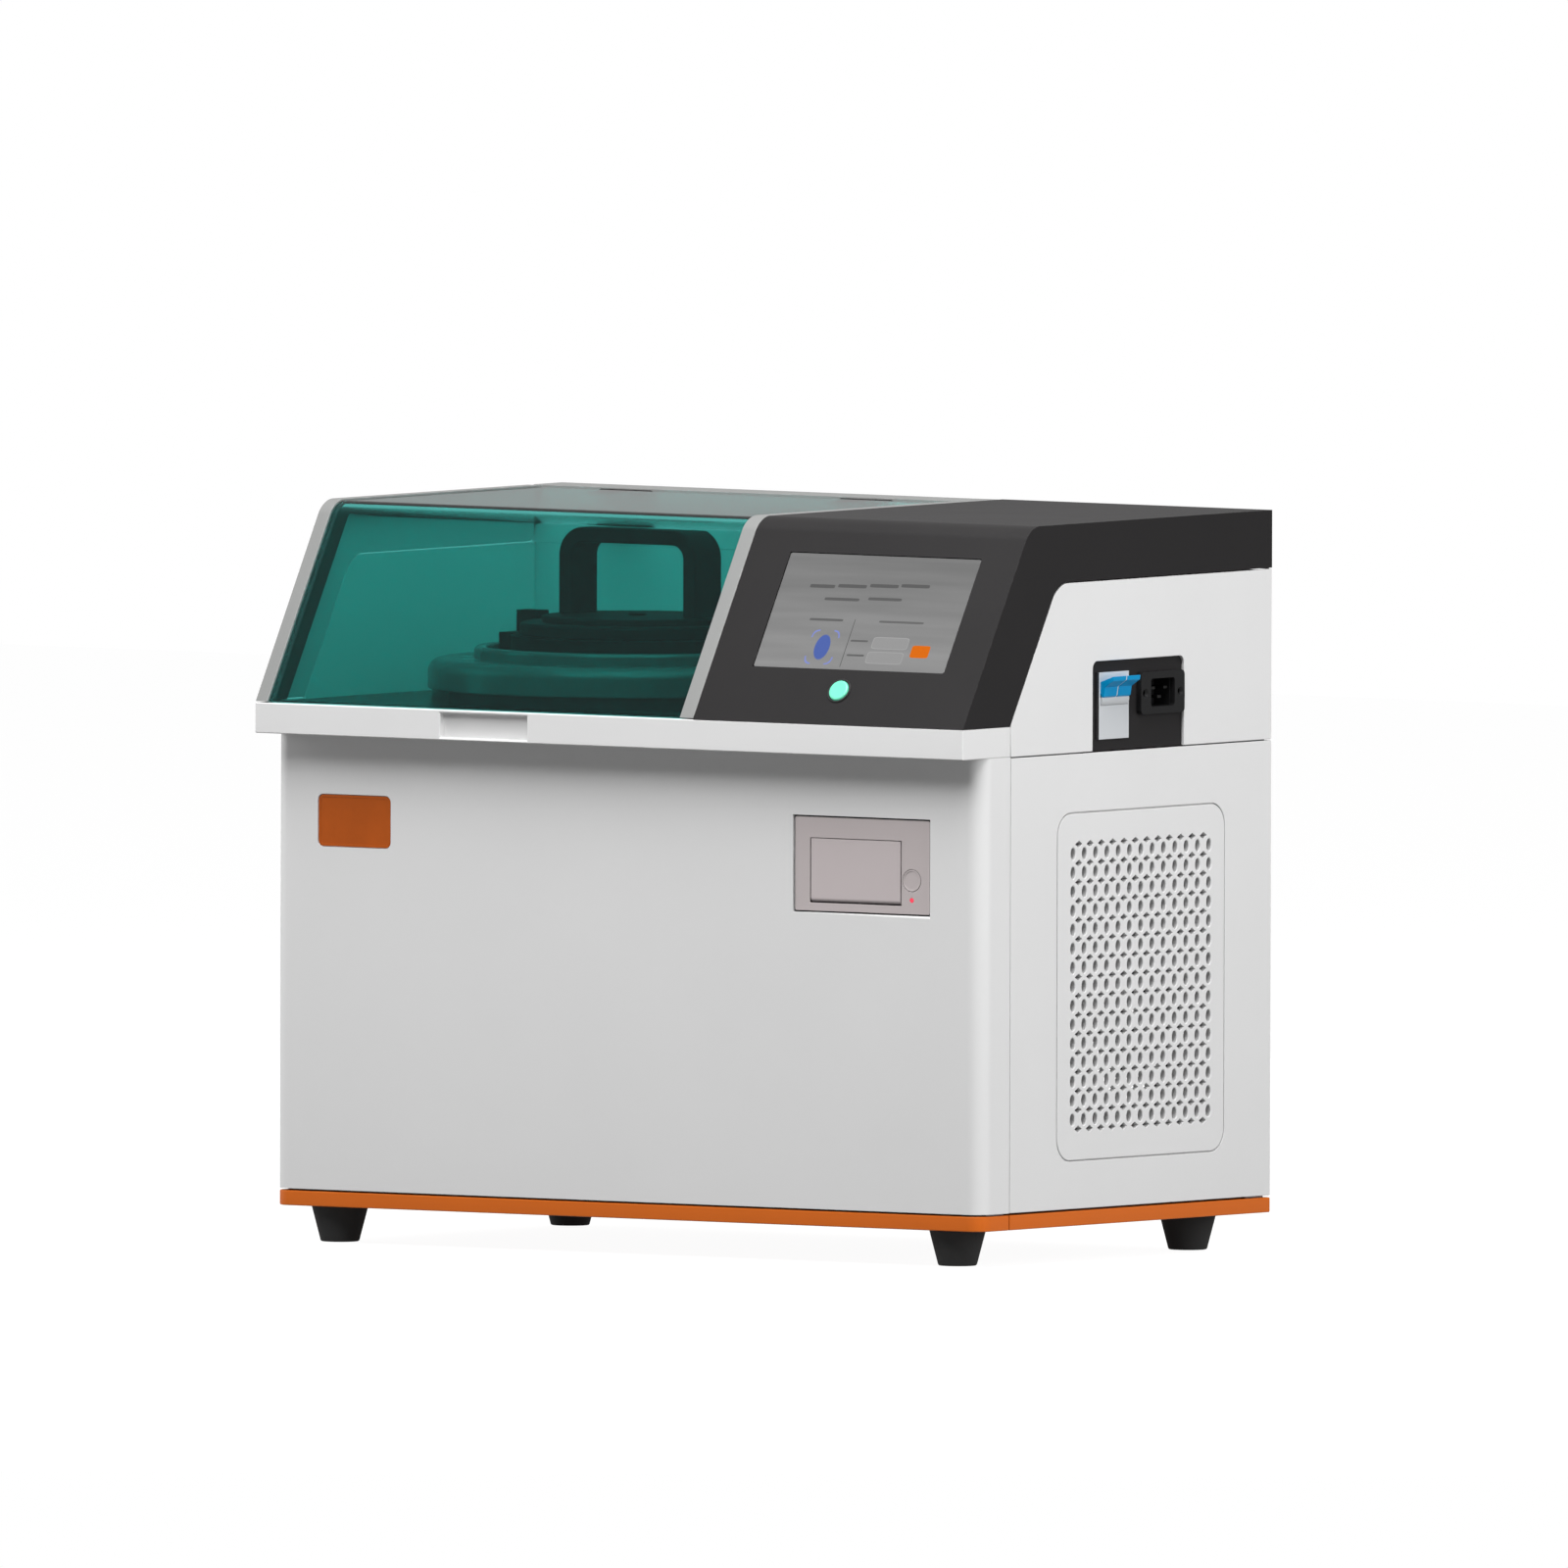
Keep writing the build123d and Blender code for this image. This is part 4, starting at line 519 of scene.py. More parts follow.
def grain_masks(group, entry):
    """Fine grain, soft blotches, and dust on what faces up."""
    place = add_node(group, "TexCoord").outputs["Object"]
    stretched = calculate(group, "MULTIPLY", place, entry["Stretch"], "VectorMath")
    fine = add_node(group, "TexNoise", {"Vector": stretched, "Scale": entry["Grain Scale"], "Detail": 3.0})
    broad = add_node(
        group, "TexNoise", {"Vector": place, "Scale": entry["Blotch Scale"], "Detail": 4.0, "Roughness": 0.6}
    )
    normal = add_node(group, "NewGeometry").outputs["Normal"]
    upward = map_range(group, add_node(group, "SeparateXYZ", {0: normal}).outputs["Z"], 0.6, 1.0)
    dust = calculate(group, "MULTIPLY", upward, broad.outputs["Fac"])
    return {"Grain": fine.outputs["Fac"], "Blotch": broad.outputs["Fac"], "Dust": dust}


def wear_and_highlight_masks(group, entry):
    """Mask of edges and rims, broken up by noise, for wear and painted edge highlight."""
    bevel = add_node(group, "Bevel", {"Radius": entry["Reach"]}, samples=4)
    flat = add_node(group, "NewGeometry")
    turn = add_node(
        group, "VectorMath", {0: bevel.outputs["Normal"], 1: flat.outputs["Normal"]}, operation="DOT_PRODUCT"
    )
    bend = map_range(group, turn.outputs["Value"], 0.99, 0.8)
    place = add_node(group, "TexCoord").outputs["Object"]
    noise = add_node(group, "TexNoise", {"Vector": place, "Scale": 160.0, "Detail": 5.0})
    patchy = map_range(group, noise.outputs["Fac"], entry["Break Up"], 0.75)
    return {"Wear And Highlight": calculate(group, "MULTIPLY", bend, patchy)}


def field_masks(group, entry):
    """Rounded rectangle on the screen, from its middle and half sizes in metres."""
    away = calculate(group, "SUBTRACT", entry["Place"], entry["Middle"], "VectorMath")
    share = calculate(group, "DIVIDE", away, entry["Half Size"], "VectorMath")
    split = add_node(group, "SeparateXYZ", {0: share}).outputs
    powers = [
        calculate(group, "POWER", calculate(group, "ABSOLUTE", split[label]), entry["Roundness"])
        for label in ("X", "Y")
    ]
    return {"Mask": map_range(group, calculate(group, "ADD", *powers), 1.1, 0.9)}


def finish_of(
    name, base, roughness, grain=900.0, blotch=9.0, height=0.04, variation=0.04, spread=0.06, metal=0.0,
    coat=0.0, specular=0.5, stretch=(1.0, 1.0, 1.0), wear_and_highlight=None, dust=0.0, glow=0.0,
):
    """Finish with grain, soft colour variation, uneven gloss, edges lightened partly as wear and partly as
    painted highlight, and a little dust.
    """
    material = bpy.data.materials.new(name)
    material.use_nodes = True
    tree = material.node_tree
    inputs = {"Grain Scale": "Float", "Blotch Scale": "Float", "Stretch": "Vector"}
    surface = add_node(
        tree, "Group", {"Grain Scale": grain, "Blotch Scale": blotch, "Stretch": stretch},
        node_tree=shader_group("surface_grain", inputs, grain_masks),
    ).outputs
    toned = mix_colour(
        tree, scale_noise(tree, surface["Blotch"], 0.0, 1.0),
        shade(base, 1.0 - variation), shade(base, 1.0 + variation),
    )
    # Lighter edges: partly wear, partly painted edge highlight
    if wear_and_highlight is not None:
        edge = add_node(
            tree, "Group", {"Reach": 0.8 * MM, "Break Up": 0.45},
            node_tree=shader_group("edge_wear_and_highlight", {"Reach": "Float", "Break Up": "Float"}, wear_and_highlight_masks),
        )
        toned = mix_colour(tree, edge.outputs["Wear And Highlight"], toned, (*wear_and_highlight, 1.0))
    if dust:
        film = calculate(tree, "MULTIPLY", surface["Dust"], dust)
        toned = mix_colour(tree, film, toned, tint("dust"))
    bump = add_node(tree, "Bump", {"Strength": 1.0, "Distance": height * MM, "Height": surface["Grain"]})
    shader = tree.nodes["Principled BSDF"]
    feed(tree, shader, {
        "Base Color": toned, "Metallic": metal, "Coat Weight": coat, "Specular IOR Level": specular,
        "Roughness": scale_noise(tree, surface["Blotch"], roughness - spread / 2, roughness + spread / 2),
        "Normal": bump.outputs["Normal"],
    })
    if glow:
        feed(tree, shader, {"Emission Color": base, "Emission Strength": glow})
    return material


# Finishes by colour: the material's name, its roughness, and what differs from the plain finish
# The edge colours are lighter than their paints: partly wear, partly painted edge highlight
FINISHES = {
    "white": ("powder_white", 0.42, dict(
        grain=1400.0, height=0.02, variation=0.012, wear_and_highlight=(0.8, 0.8, 0.8), dust=0.03
    )),
    # White paint darkened as painted shade, for faces inside the chamber
    "inner": ("inner_white_painted_shade", 0.5, dict(grain=1100.0, height=0.03, variation=0.02)),
    "orange": ("base_orange_paint", 0.4, dict(
        grain=1300.0, height=0.02, variation=0.03, wear_and_highlight=(0.75, 0.28, 0.08), specular=0.3
    )),
    "charcoal": ("hood_charcoal_paint", 0.44, dict(
        grain=1500.0, height=0.05, variation=0.05, wear_and_highlight=(0.06, 0.06, 0.06), dust=0.02, specular=0.1
    )),
    "frame_grey": ("frame_grey_paint", 0.4, dict(
        grain=1300.0, height=0.02, variation=0.02, wear_and_highlight=(0.5, 0.5, 0.5), dust=0.04
    )),
    "lid": ("lid_dark_paint", 0.55, dict(
        grain=700.0, height=0.06, variation=0.08, wear_and_highlight=(0.06, 0.06, 0.06), dust=0.01, specular=0.07
    )),
    "collar": ("collar_light_paint", 0.26, dict(grain=800.0, height=0.02, coat=0.15)),
    "rubber": ("rubber_black", 0.62, dict(
        grain=1800.0, height=0.06, variation=0.1, dust=0.02, specular=0.1
    )),
    "deck": ("deck_gloss", 0.24, dict(grain=500.0, height=0.004, variation=0.1, dust=0.02, specular=0.1)),
    "steel": ("steel_brushed", 0.32, dict(height=0.015, metal=1.0, stretch=(1.0, 1.0, 0.04))),
    "dark_steel": ("steel_dark", 0.42, dict(height=0.01, metal=1.0, stretch=(1.0, 1.0, 0.04))),
    "zinc": ("zinc_plate", 0.42, dict(grain=260.0, blotch=40.0, height=0.01, variation=0.12, metal=1.0)),
    "brass": ("brass_turned", 0.34, dict(height=0.015, metal=1.0, stretch=(0.1, 1.0, 1.0))),
    "wool": ("wool_wrap", 0.9, dict(grain=420.0, height=0.5, variation=0.1)),
    "printer": ("printer_grey_plastic", 0.34, dict(grain=1600.0, height=0.015, variation=0.02)),
    "door": ("printer_door_plastic", 0.36, dict(grain=1600.0, height=0.015, variation=0.02)),
    "black": ("black_moulded", 0.45, dict(grain=1500.0, variation=0.08, specular=0.25)),
    "silver": ("breaker_silver_plastic", 0.33, dict(grain=1200.0, height=0.02, variation=0.03)),
    "blue": ("lever_blue_plastic", 0.35, dict(grain=1200.0, height=0.02, specular=0.2)),
    "plate": ("plate_orange_gloss", 0.3, dict(
        grain=700.0, blotch=60.0, height=0.01, variation=0.08, coat=0.1, specular=0.3
    )),
    "board": ("board_green_mask", 0.3, dict(grain=500.0, blotch=140.0, height=0.05, variation=0.25)),
    "pump": ("pump_blue_paint", 0.4, dict(height=0.05, variation=0.05)),
    "mint": ("key_mint_lit", 0.25, dict(height=0.01, variation=0.02, coat=0.3, glow=0.3)),
    "lamp": ("lamp_red_lit", 0.25, dict(height=0.01, variation=0.02, glow=0.5)),
    "acrylic": ("acrylic_tinted", 0.03, dict(
        grain=60.0, blotch=5.0, height=0.0, variation=0.01, spread=0.02
    )),
    "screen": ("screen_page", 0.14, dict(
        grain=400.0, blotch=14.0, height=0.0, variation=0.12, coat=0.05, specular=0.25
    )),
}


def paint(key):
    """Material of one colour's finish, made once."""
    name, roughness, extras = FINISHES[key]
    return bpy.data.materials.get(name) or finish_of(name, tint(key), roughness, **extras)


def acrylic():
    """Tinted clear sheet; lamps reach the chamber through it by a tinted straight path."""
    material = paint("acrylic")
    tree = material.node_tree
    shader = tree.nodes["Principled BSDF"]
    feed(tree, shader, {"Transmission Weight": 1.0, "IOR": 1.35})
    shadow = add_node(tree, "LightPath").outputs["Is Shadow Ray"]
    clear = add_node(tree, "BsdfTransparent", {"Color": tint("acrylic_shade")})
    both = add_node(tree, "MixShader", {0: shadow, 1: shader.outputs[0], 2: clear.outputs[0]})
    feed(tree, tree.nodes["Material Output"], {"Surface": both.outputs[0]})
    return material


# The page that the screen shows, as (across, up, half width, half height, brightness) in millimetres
PAGE_FIELDS = (
    (-43.0, 18.6, 10.0, 1.3, 0.42),
    (-19.0, 19.4, 11.5, 1.3, 0.42),
    (6.5, 20.4, 11.5, 1.3, 0.42),
    (31.5, 21.2, 11.5, 1.3, 0.42),
    (-24.0, 9.4, 14.0, 1.1, 0.45),
    (10.5, 10.6, 13.5, 1.1, 0.45),
    (-31.0, -6.2, 13.5, 0.9, 0.5),
    (29.8, -6.1, 18.0, 0.8, 0.55),
    (-7.9, -23.0, 0.3, 18.0, 0.45),
    (1.0, -21.0, 7.0, 0.7, 0.5),
    (1.6, -31.8, 7.0, 0.7, 0.5),
    (26.5, -22.0, 14.6, 4.5, 1.5),
    (25.6, -33.0, 14.6, 4.5, 1.5),
    (26.5, -22.0, 14.1, 4.0, 1.22),
    (25.6, -33.0, 14.1, 4.0, 1.22),
)
PAGE_KEY = (52.5, -27.4, 7.4, 4.6)
PAGE_OVAL = (-27.2, -26.6, 6.0, 9.3)
PAGE_HALO = (-27.2, -26.6, 11.4, 13.0)
PAGE_LINE = 0.9
# Powers that give a box, a rounded box and an oval
BOX, PILLOW, OVAL = 8.0, 5.0, 2.0


def screen_page(middle):
    """Finish of the screen: a grey page with plain fields, an oval and an orange key, under a painted sheen
    that lightens the page towards its foot in long streaks.
    """
    material = paint("screen")
    tree = material.node_tree
    base = tint("screen")
    page = add_node(tree, "Mapping", {
        "Vector": add_node(tree, "TexCoord").outputs["Object"],
        "Location": [value * MM for value in middle],
        "Rotation": (math.pi / 2 - lean(), 0.0, 0.0),
    }, vector_type="TEXTURE").outputs["Vector"]

    def draw(under, over, across, up, half_width, half_height, roundness=BOX):
        inputs = {"Place": "Vector", "Middle": "Vector", "Half Size": "Vector", "Roundness": "Float"}
        field = add_node(tree, "Group", {
            "Place": page, "Middle": (across * MM, up * MM, 0.0),
            "Half Size": (half_width * MM, half_height * MM, 1.0), "Roundness": roundness,
        }, node_tree=shader_group("screen_field", inputs, field_masks))
        return mix_colour(tree, field.outputs["Mask"], under, over)

    # Painted sheen: the page is lighter towards its foot and darker towards its top, with long lighter
    # streaks across it
    height = add_node(tree, "SeparateXYZ", {0: page}).outputs["Y"]
    sheen_fall = map_range(tree, height, -40.0 * MM, 40.0 * MM)
    along = add_node(
        tree, "Mapping", {"Vector": page, "Rotation": (0.0, 0.0, 0.3), "Scale": (6.0, 95.0, 1.0)}
    )
    sheen_streaks = add_node(tree, "TexNoise", {"Vector": along.outputs["Vector"], "Scale": 1.0, "Detail": 2.0})
    toned = mix_colour(
        tree, scale_noise(tree, sheen_streaks.outputs["Fac"], -0.2, 0.8),
        mix_colour(tree, sheen_fall, shade(base, 1.05), shade(base, 0.66)),
        mix_colour(tree, sheen_fall, shade(base, 1.3), shade(base, 0.9)),
    )
    for *place, brightness in PAGE_FIELDS:
        toned = draw(toned, shade(base, brightness), *place)
    plain = draw(toned, tint("page_key"), *PAGE_KEY)
    toned = draw(plain, tint("page_halo"), *PAGE_HALO, PILLOW)
    across, up, half_width, half_height = PAGE_HALO
    for hidden in (
        (half_width - PAGE_LINE, half_height - PAGE_LINE, PILLOW),
        (half_width + 4.0, half_height * 0.55),
        (half_width * 0.5, half_height + 4.0),
    ):
        toned = draw(toned, plain, across, up, *hidden)
    toned = draw(toned, tint("page_oval"), *PAGE_OVAL, OVAL)
    feed(tree, tree.nodes["Principled BSDF"], {"Base Color": toned})
    return material


# Pieces


class BuildBase(bpy.types.Operator):
    """Orange base plate and the trim that wraps its front corners."""

    bl_idname = "analyzer.base"
    bl_label = "Base"

    def execute(self, context):
        low, high = limits("base_front_trim")
        front = add_block(low, high, "base_trim")
        round_edges(front, edges_at(2, y=low[1]), size("cabinet_corner"), 16)
        seam = 0.8
        tray_low, tray_high = limits("base_plate")
        tray_low[1] = high[1] + seam
        tray = add_block(tray_low, tray_high, "base_tray")
        for piece, node in ((front, "base_front_trim"), (tray, "base_plate")):
            finish(soften(piece, 0.8), "base_orange", paint("orange"), node)
        return {"FINISHED"}


class BuildFeet(bpy.types.Operator):
    """Tapered rubber feet with a rounded foot and a hollow below."""

    bl_idname = "analyzer.feet"
    bl_label = "Feet"

    def execute(self, context):
        low, high = limits("feet")
        radius = size("foot_top")
        x, y = low[0] + radius, low[1] + radius
        foot = add_rod((x, y, 0.0), 2, low[2], high[2], size("foot_tip"), 64, "rubber_feet", radius)
        rim, hollow = 3.0, 2.0
        sink(foot, (0.0, 0.0, -1.0), rim, hollow)
        soften(foot, size("soft_round"), 3)
        across, along = high[0] - radius - x, high[1] - radius - y
        steps = ((0.0, along, 0.0), (across, 0.0, 0.0), (across, along, 0.0))
        weld(foot, *[copy_of(foot, step) for step in steps])
        finish(foot, "rubber_black", paint("rubber"), "feet")
        return {"FINISHED"}


# Gaps round the vent, at the upper walls and round the plate
VENT_GAP, WALL_GAP, PLATE_GAP = 0.8, 0.8, 0.5
# Lap of the front cover over the printer, and radius of the plate's corners
BEZEL_LAP, PLATE_CORNER = 4.0, 4.0


class BuildCovers(bpy.types.Operator):
    """White front cover, side covers and upper walls."""

    bl_idname = "analyzer.covers"
    bl_label = "Covers"

    def execute(self, context):
        sheet = size("sheet")
        corner = size("cabinet_corner")
        low, high = limits("front_cover")
        cover = round_edges(add_block(low, high, "front_panel"), edges_at(2, y=low[1]), corner, 24)
        inner = add_block(
            (low[0] + sheet, low[1] + sheet, low[2] - FAR), (high[0] - sheet, high[1] + FAR, high[2] + FAR)
        )
        round_edges(inner, edges_at(2, y=low[1] + sheet), corner - sheet, 24)
        start = low[1] - FAR
        window = add_block(*around("printer_bezel", -BEZEL_LAP, 1, start, low[1] + FAR))
        pocket = around("badge_plate", PLATE_GAP, 1, start, limits("badge_plate")[1][1])
        cut(cover, inner, window, rounded_bar(*pocket, PLATE_CORNER + PLATE_GAP, 1))
        sill, sill_round = limits("printer_bezel")[0][2] + BEZEL_LAP, 1.3
        round_edges(cover, edges_at(0, y=low[1], z=sill), sill_round, 4)
        finish(soften(cover), "cabinet_white", paint("white"), "front_cover")

        left = add_block(*limits("side_cover_left"), "side_panel_left")
        finish(soften(left), "cabinet_white", paint("white"), "side_cover_left")
        low, high = limits("side_cover_right")
        right = add_block(low, high, "side_panel_right")
        opening = around("vent_panel", VENT_GAP - size("vent_flange"), 0, low[0] - FAR, high[0] + FAR)
        cut(right, rounded_bar(*opening, size("vent_corner") + VENT_GAP, 0))
        finish(soften(right), "cabinet_white", paint("white"), "side_cover_right")

        power_low, power_high = limits("power_plate")
        flange, power_corner = 6.0, 5.0
        for side in ("left", "right"):
            low, high = limits("side_wall_" + side)
            wall = folded_block(
                low[0], high[0], size("band_front") + WALL_GAP, size("band_top") + WALL_GAP,
                size("band_radius"), high[1], low[2], "upper_wall_" + side,
            )
            front = (low[0] - FAR, FRONT_Y - 3 * FAR, low[2] - FAR)
            cut(wall, add_block(front, (high[0] + FAR, low[1], high[2])))
            if side == "right":
                cut(wall, rounded_bar(
                    (low[0] - FAR, power_low[1] + flange, low[2] - 3 * FAR),
                    (high[0] + FAR, power_high[1] - flange, power_high[2] - flange), power_corner, 0,
                ))
            finish(soften(wall), "cabinet_white", paint("white"), "side_wall_" + side)
        return {"FINISHED"}


def hole_cutter(place, width, height, sides, back_x, face_x):
    """Cutter of one vent hole along X, flared at the outer face."""
    rim = 0.4
    middle = Vector((back_x, *place)) * MM
    take()
    bpy.ops.mesh.primitive_circle_add(
        vertices=sides, radius=0.5, fill_type="NGON", location=middle,
        rotation=(math.pi / 2, 0.0, math.pi / 2),
    )
    bpy.context.active_object.scale = (width * MM, height * MM, 1.0)
    cutter = name_new("cutter")
    pick(cutter, "FACE")
    push(face_x - rim - back_x, 0.0, 0.0)
    middle.x = (face_x - rim) * MM
    for grow in (1.0 + 2 * rim / width, 1.0 + rim / width):
        push(rim, 0.0, 0.0)
        middle.x += rim * MM
        bpy.ops.transform.resize(value=(1.0, grow, grow), center_override=middle)
    bpy.ops.mesh.select_all(action="SELECT")
    bpy.ops.mesh.normals_make_consistent(inside=False)
    leave()
    return cutter


class BuildVent(bpy.types.Operator):
    """Vent panel: rows of diamond holes with rows of upright ovals between them."""

    bl_idname = "analyzer.vent"
    bl_label = "Vent panel"

    def execute(self, context):
        low, high = limits("vent_panel")
        flange, corner = size("vent_flange"), size("vent_corner")
        lip_thickness, lip_corner = 1.18, 3.0
        panel = rounded_bar(
            *around("vent_panel", -flange, 0, low[0], high[0]), corner, 0, 16, "vent_grille"
        )
        soften(panel)
        lip = rounded_bar(low, (low[0] + lip_thickness, *high[1:]), lip_corner, 0, name="vent_flange")
        cut(lip, rounded_bar(*around("vent_panel", -flange, 0, low[0] - FAR, high[0] + FAR), corner, 0, 16))
        pitch, row_pitch = size("vent_pitch"), size("vent_row_pitch")
        rows, columns = sizes().vent_rows, sizes().vent_columns
        _, middle_y, middle_z = centre_of("vent_panel")
        for width, height, sides, across, up in (
            (size("diamond_width"), size("diamond_height"), 4, columns, rows),
            (size("oval_width"), size("oval_height"), 20, columns + 1, rows - 1),
        ):
            place = (middle_y - (across - 1) * pitch / 2, middle_z - (up - 1) * row_pitch / 2)
            cutter = hole_cutter(place, width, height, sides, low[0] - FAR, high[0])
            for number, way in ((across, (0.0, pitch * MM, 0.0)), (up, (0.0, 0.0, row_pitch * MM))):
                shape_with(
                    cutter, "ARRAY", count=number, use_relative_offset=False,
                    use_constant_offset=True, constant_offset_displace=way,
                )
            cut(panel, cutter)
        finish(weld(panel, lip), "cabinet_white", paint("white"), "vent_panel")
        return {"FINISHED"}


class BuildRim(bpy.types.Operator):
    """White rim round the front of the deck, with the finger recess."""

    bl_idname = "analyzer.rim"
    bl_label = "Deck rim"

    def execute(self, context):
        low, high = limits("deck_rim")
        front, side, depth = 8.0, size("sheet"), 3.5
        bay = add_block(
            (low[0] + side, low[1] + front, high[2] - depth), (high[0] - side, high[1] + FAR, high[2] + FAR)
        )
        start, end, foot, top = 149.7, 220.5, 1.5, 2.0
        recess = add_block(
            (low[0] + start, low[1] - FAR, low[2] + foot),
            (low[0] + end, low[1] + size("recess_depth"), high[2] - top),
        )
        middle_z = (low[2] + high[2]) / 2
        pick(recess, "VERT", lambda vertex: vertex.co.y > low[1] * MM and vertex.co.z < middle_z * MM)
        bpy.ops.transform.translate(value=(0.0, size("recess_tilt") * MM, 0.0))
        leave()
        rim = cut(add_block(low, high, "rim_front"), bay, recess)
        finish(soften(rim, 1.0, 3), "cabinet_white", paint("white"), "deck_rim")
        return {"FINISHED"}


class BuildHood(bpy.types.Operator):
    """Charcoal control hood: a bent skin with a side band, a screen window and a key hole."""

    bl_idname = "analyzer.hood"
    bl_label = "Control hood"

    def execute(self, context):
        low, high = limits("control_hood")
        sheet, bend = size("sheet"), size("bend_radius")
        lap, window_gap, hole_radius = 0.01, 0.35, 8.5
        hood = folded_block(low[0], high[0], 0.0, 0.0, bend, high[1], low[2], "control_cowl")
        inside = folded_block(
            low[0] - FAR, high[0] - sheet, sheet, sheet, bend - sheet, high[1] - sheet, low[2] - FAR
        )
        side = folded_block(
            high[0] - sheet - lap, high[0] + FAR, size("band_front"), size("band_top"),
            size("band_radius"), high[1] + FAR, low[2] - FAR,
        )
        rear = add_block(
            (low[0] - FAR, high[1] - sheet - lap, low[2] - FAR),
            (high[0] - sheet, high[1] + FAR, limits("side_wall_right")[1][2]),
        )
        screen_low, screen_high = limits("touch_screen")
        half_width = (screen_high[0] - screen_low[0]) / 2 + window_gap
        half_height = size("screen_half") + window_gap
        window = add_block((-half_width, -half_height, -FAR), (half_width, half_height, FAR))
        lay_on_slope(window, centre_of("touch_screen")[0], size("screen_rise"))
        hole = add_rod((0.0, 0.0, 0.0), 2, -FAR, FAR, hole_radius, ROUND_STEPS)
        lay_on_slope(hole, centre_of("start_button")[0], size("key_rise"))
        cut(hood, inside, side, rear, window, hole)
        finish(soften(hood), "hood_charcoal", paint("charcoal"), "control_hood")
        return {"FINISHED"}


class BuildScreen(bpy.types.Operator):
    """Touch screen with a plain page, and the lit start key in its ring."""

    bl_idname = "analyzer.screen"
    bl_label = "Screen and start key"

    def execute(self, context):
        low, high = limits("touch_screen")
        half_width, half_height, rise = (high[0] - low[0]) / 2, size("screen_half"), size("screen_rise")
        back, face, corner = -2.4, -0.5, 1.5
        glass = rounded_bar(
            (-half_width, -half_height, back), (half_width, half_height, face), corner, 2,
            name="screen_glass",
        )
        screen_x = centre_of("touch_screen")[0]
        lay_on_slope(glass, screen_x, rise)
        page = screen_page((screen_x, *slope_point(rise)))
        finish(soften(glass, 0.3), "screen_glass", page, "touch_screen")

        key_x, rise = centre_of("start_button")[0], size("key_rise")
        radius, stem, edge, crown = size("key_radius"), 2.0, 0.5, 1.2
        cap = lathe("start_key", (0, 0), [
            (0.0, -8.0), (stem, -8.0), (stem, -4.0), (radius, -4.0), (radius, edge),
            *arc((radius - crown, edge), crown, 10, 80, 4), (radius - 2.2, edge + crown), (0.0, 1.3),
        ])
        lay_on_slope(cap, key_x, rise)
        finish(cap, "button_mint", paint("mint"), "start_button", body="start_cap")
        ring, bore, shell, lip = size("key_ring"), radius + 0.3, 8.3, 0.8
        foot, floor = -24.0, -21.5
        barrel = lathe("start_ring", (0, 0), [
            (0.0, foot), (shell, foot), (shell, 0.0), (ring, 0.0), (ring, 0.4), (ring - 0.4, lip),
            (bore + 0.3, lip), (bore, 0.5), (bore, floor), (0.0, floor), (0.0, foot),
        ])
        lay_on_slope(barrel, key_x, rise)
        finish(barrel, "button_ring", paint("dark_steel"), "start_button_body")
        return {"FINISHED"}


class BuildCover(bpy.types.Operator):
    """Bent acrylic glazing with its grey frames and black seals."""

    bl_idname = "analyzer.cover"
    bl_label = "Hinged cover"

    def execute(self, context):
        low, high = limits("cover_frames")
        glass_low, glass_high = limits("cover_glazing")
        bend, thick, sheet = size("bend_radius"), size("frame_thickness"), size("sheet")
        deep = thick + size("seal_depth")
        rear = high[1] + size("frame_reach")
        lap, inner_fold = 0.01, 1.0

        def folded(name, x0, x1, inset, end):
            return folded_block(x0, x1, inset, inset, bend - inset, end, low[2], name)

        def below(x0, x1, front=thick, top=thick, radius=bend - thick):
            return folded_block(x0, x1, front, top, radius, high[1] + 3 * FAR, low[2] - FAR)

        glass = folded("cover_acrylic", glass_low[0], glass_high[0], size("glazing_inset"), high[1])
        cut(glass, below(glass_low[0] - FAR, glass_high[0] + FAR))
        finish(soften(glass, 0.4), "cover_teal", acrylic(), "cover_glazing", body="cover")

        left_end, right_start = low[0] + size("frame_left"), high[0] - size("frame_right")
        left = folded("cover_frame_left", low[0], left_end, 0.0, rear)
        band = (size("band_front"), size("band_top"), size("band_radius"))
        cut(left, below(low[0] + sheet, left_end + FAR), below(low[0] - FAR, low[0] + sheet + lap, *band))
        right = folded("cover_frame_right", right_start, high[0], 0.0, rear)
        skirt = below(high[0] - sheet - lap, high[0] + FAR, deep, deep, inner_fold)
        cut(right, below(right_start - FAR, high[0] - sheet), skirt)
        for piece, foot in ((left, TOP_Z - size("band_top")), (right, TOP_Z - deep)):
            corners = edges_at(0, y=rear, z=TOP_Z), edges_at(0, y=rear, z=foot)
            round_edges(
                piece, lambda edge: edge.calc_face_angle(0.0) > 1.0 and any(at(edge) for at in corners),
                size("frame_rear_round"), 10,
            )
            soften(piece, 0.8, 3)
            finish(piece, "frame_grey", paint("frame_grey"), "cover_frames", body="cover")
            # The left frame's inner face gets the white paint darkened as painted shade
            paint_part(piece, paint("inner"), lambda at, normal: normal.x > 0.9 and at.x < low[0] + 3.0)
        overlap = 3.0
        for name, x0, x1 in (
            ("seal_left", low[0] + sheet, glass_low[0] + overlap),
            ("seal_right", glass_high[0] - overlap, high[0] - sheet),
        ):
            seal = folded(name, x0, x1, thick, high[1])
            cut(seal, below(x0 - FAR, x1 + FAR, deep, thick + size("seal_top"), inner_fold))
            finish(soften(seal), "rubber_black", paint("rubber"), "cover_seals", body="cover")
        return {"FINISHED"}


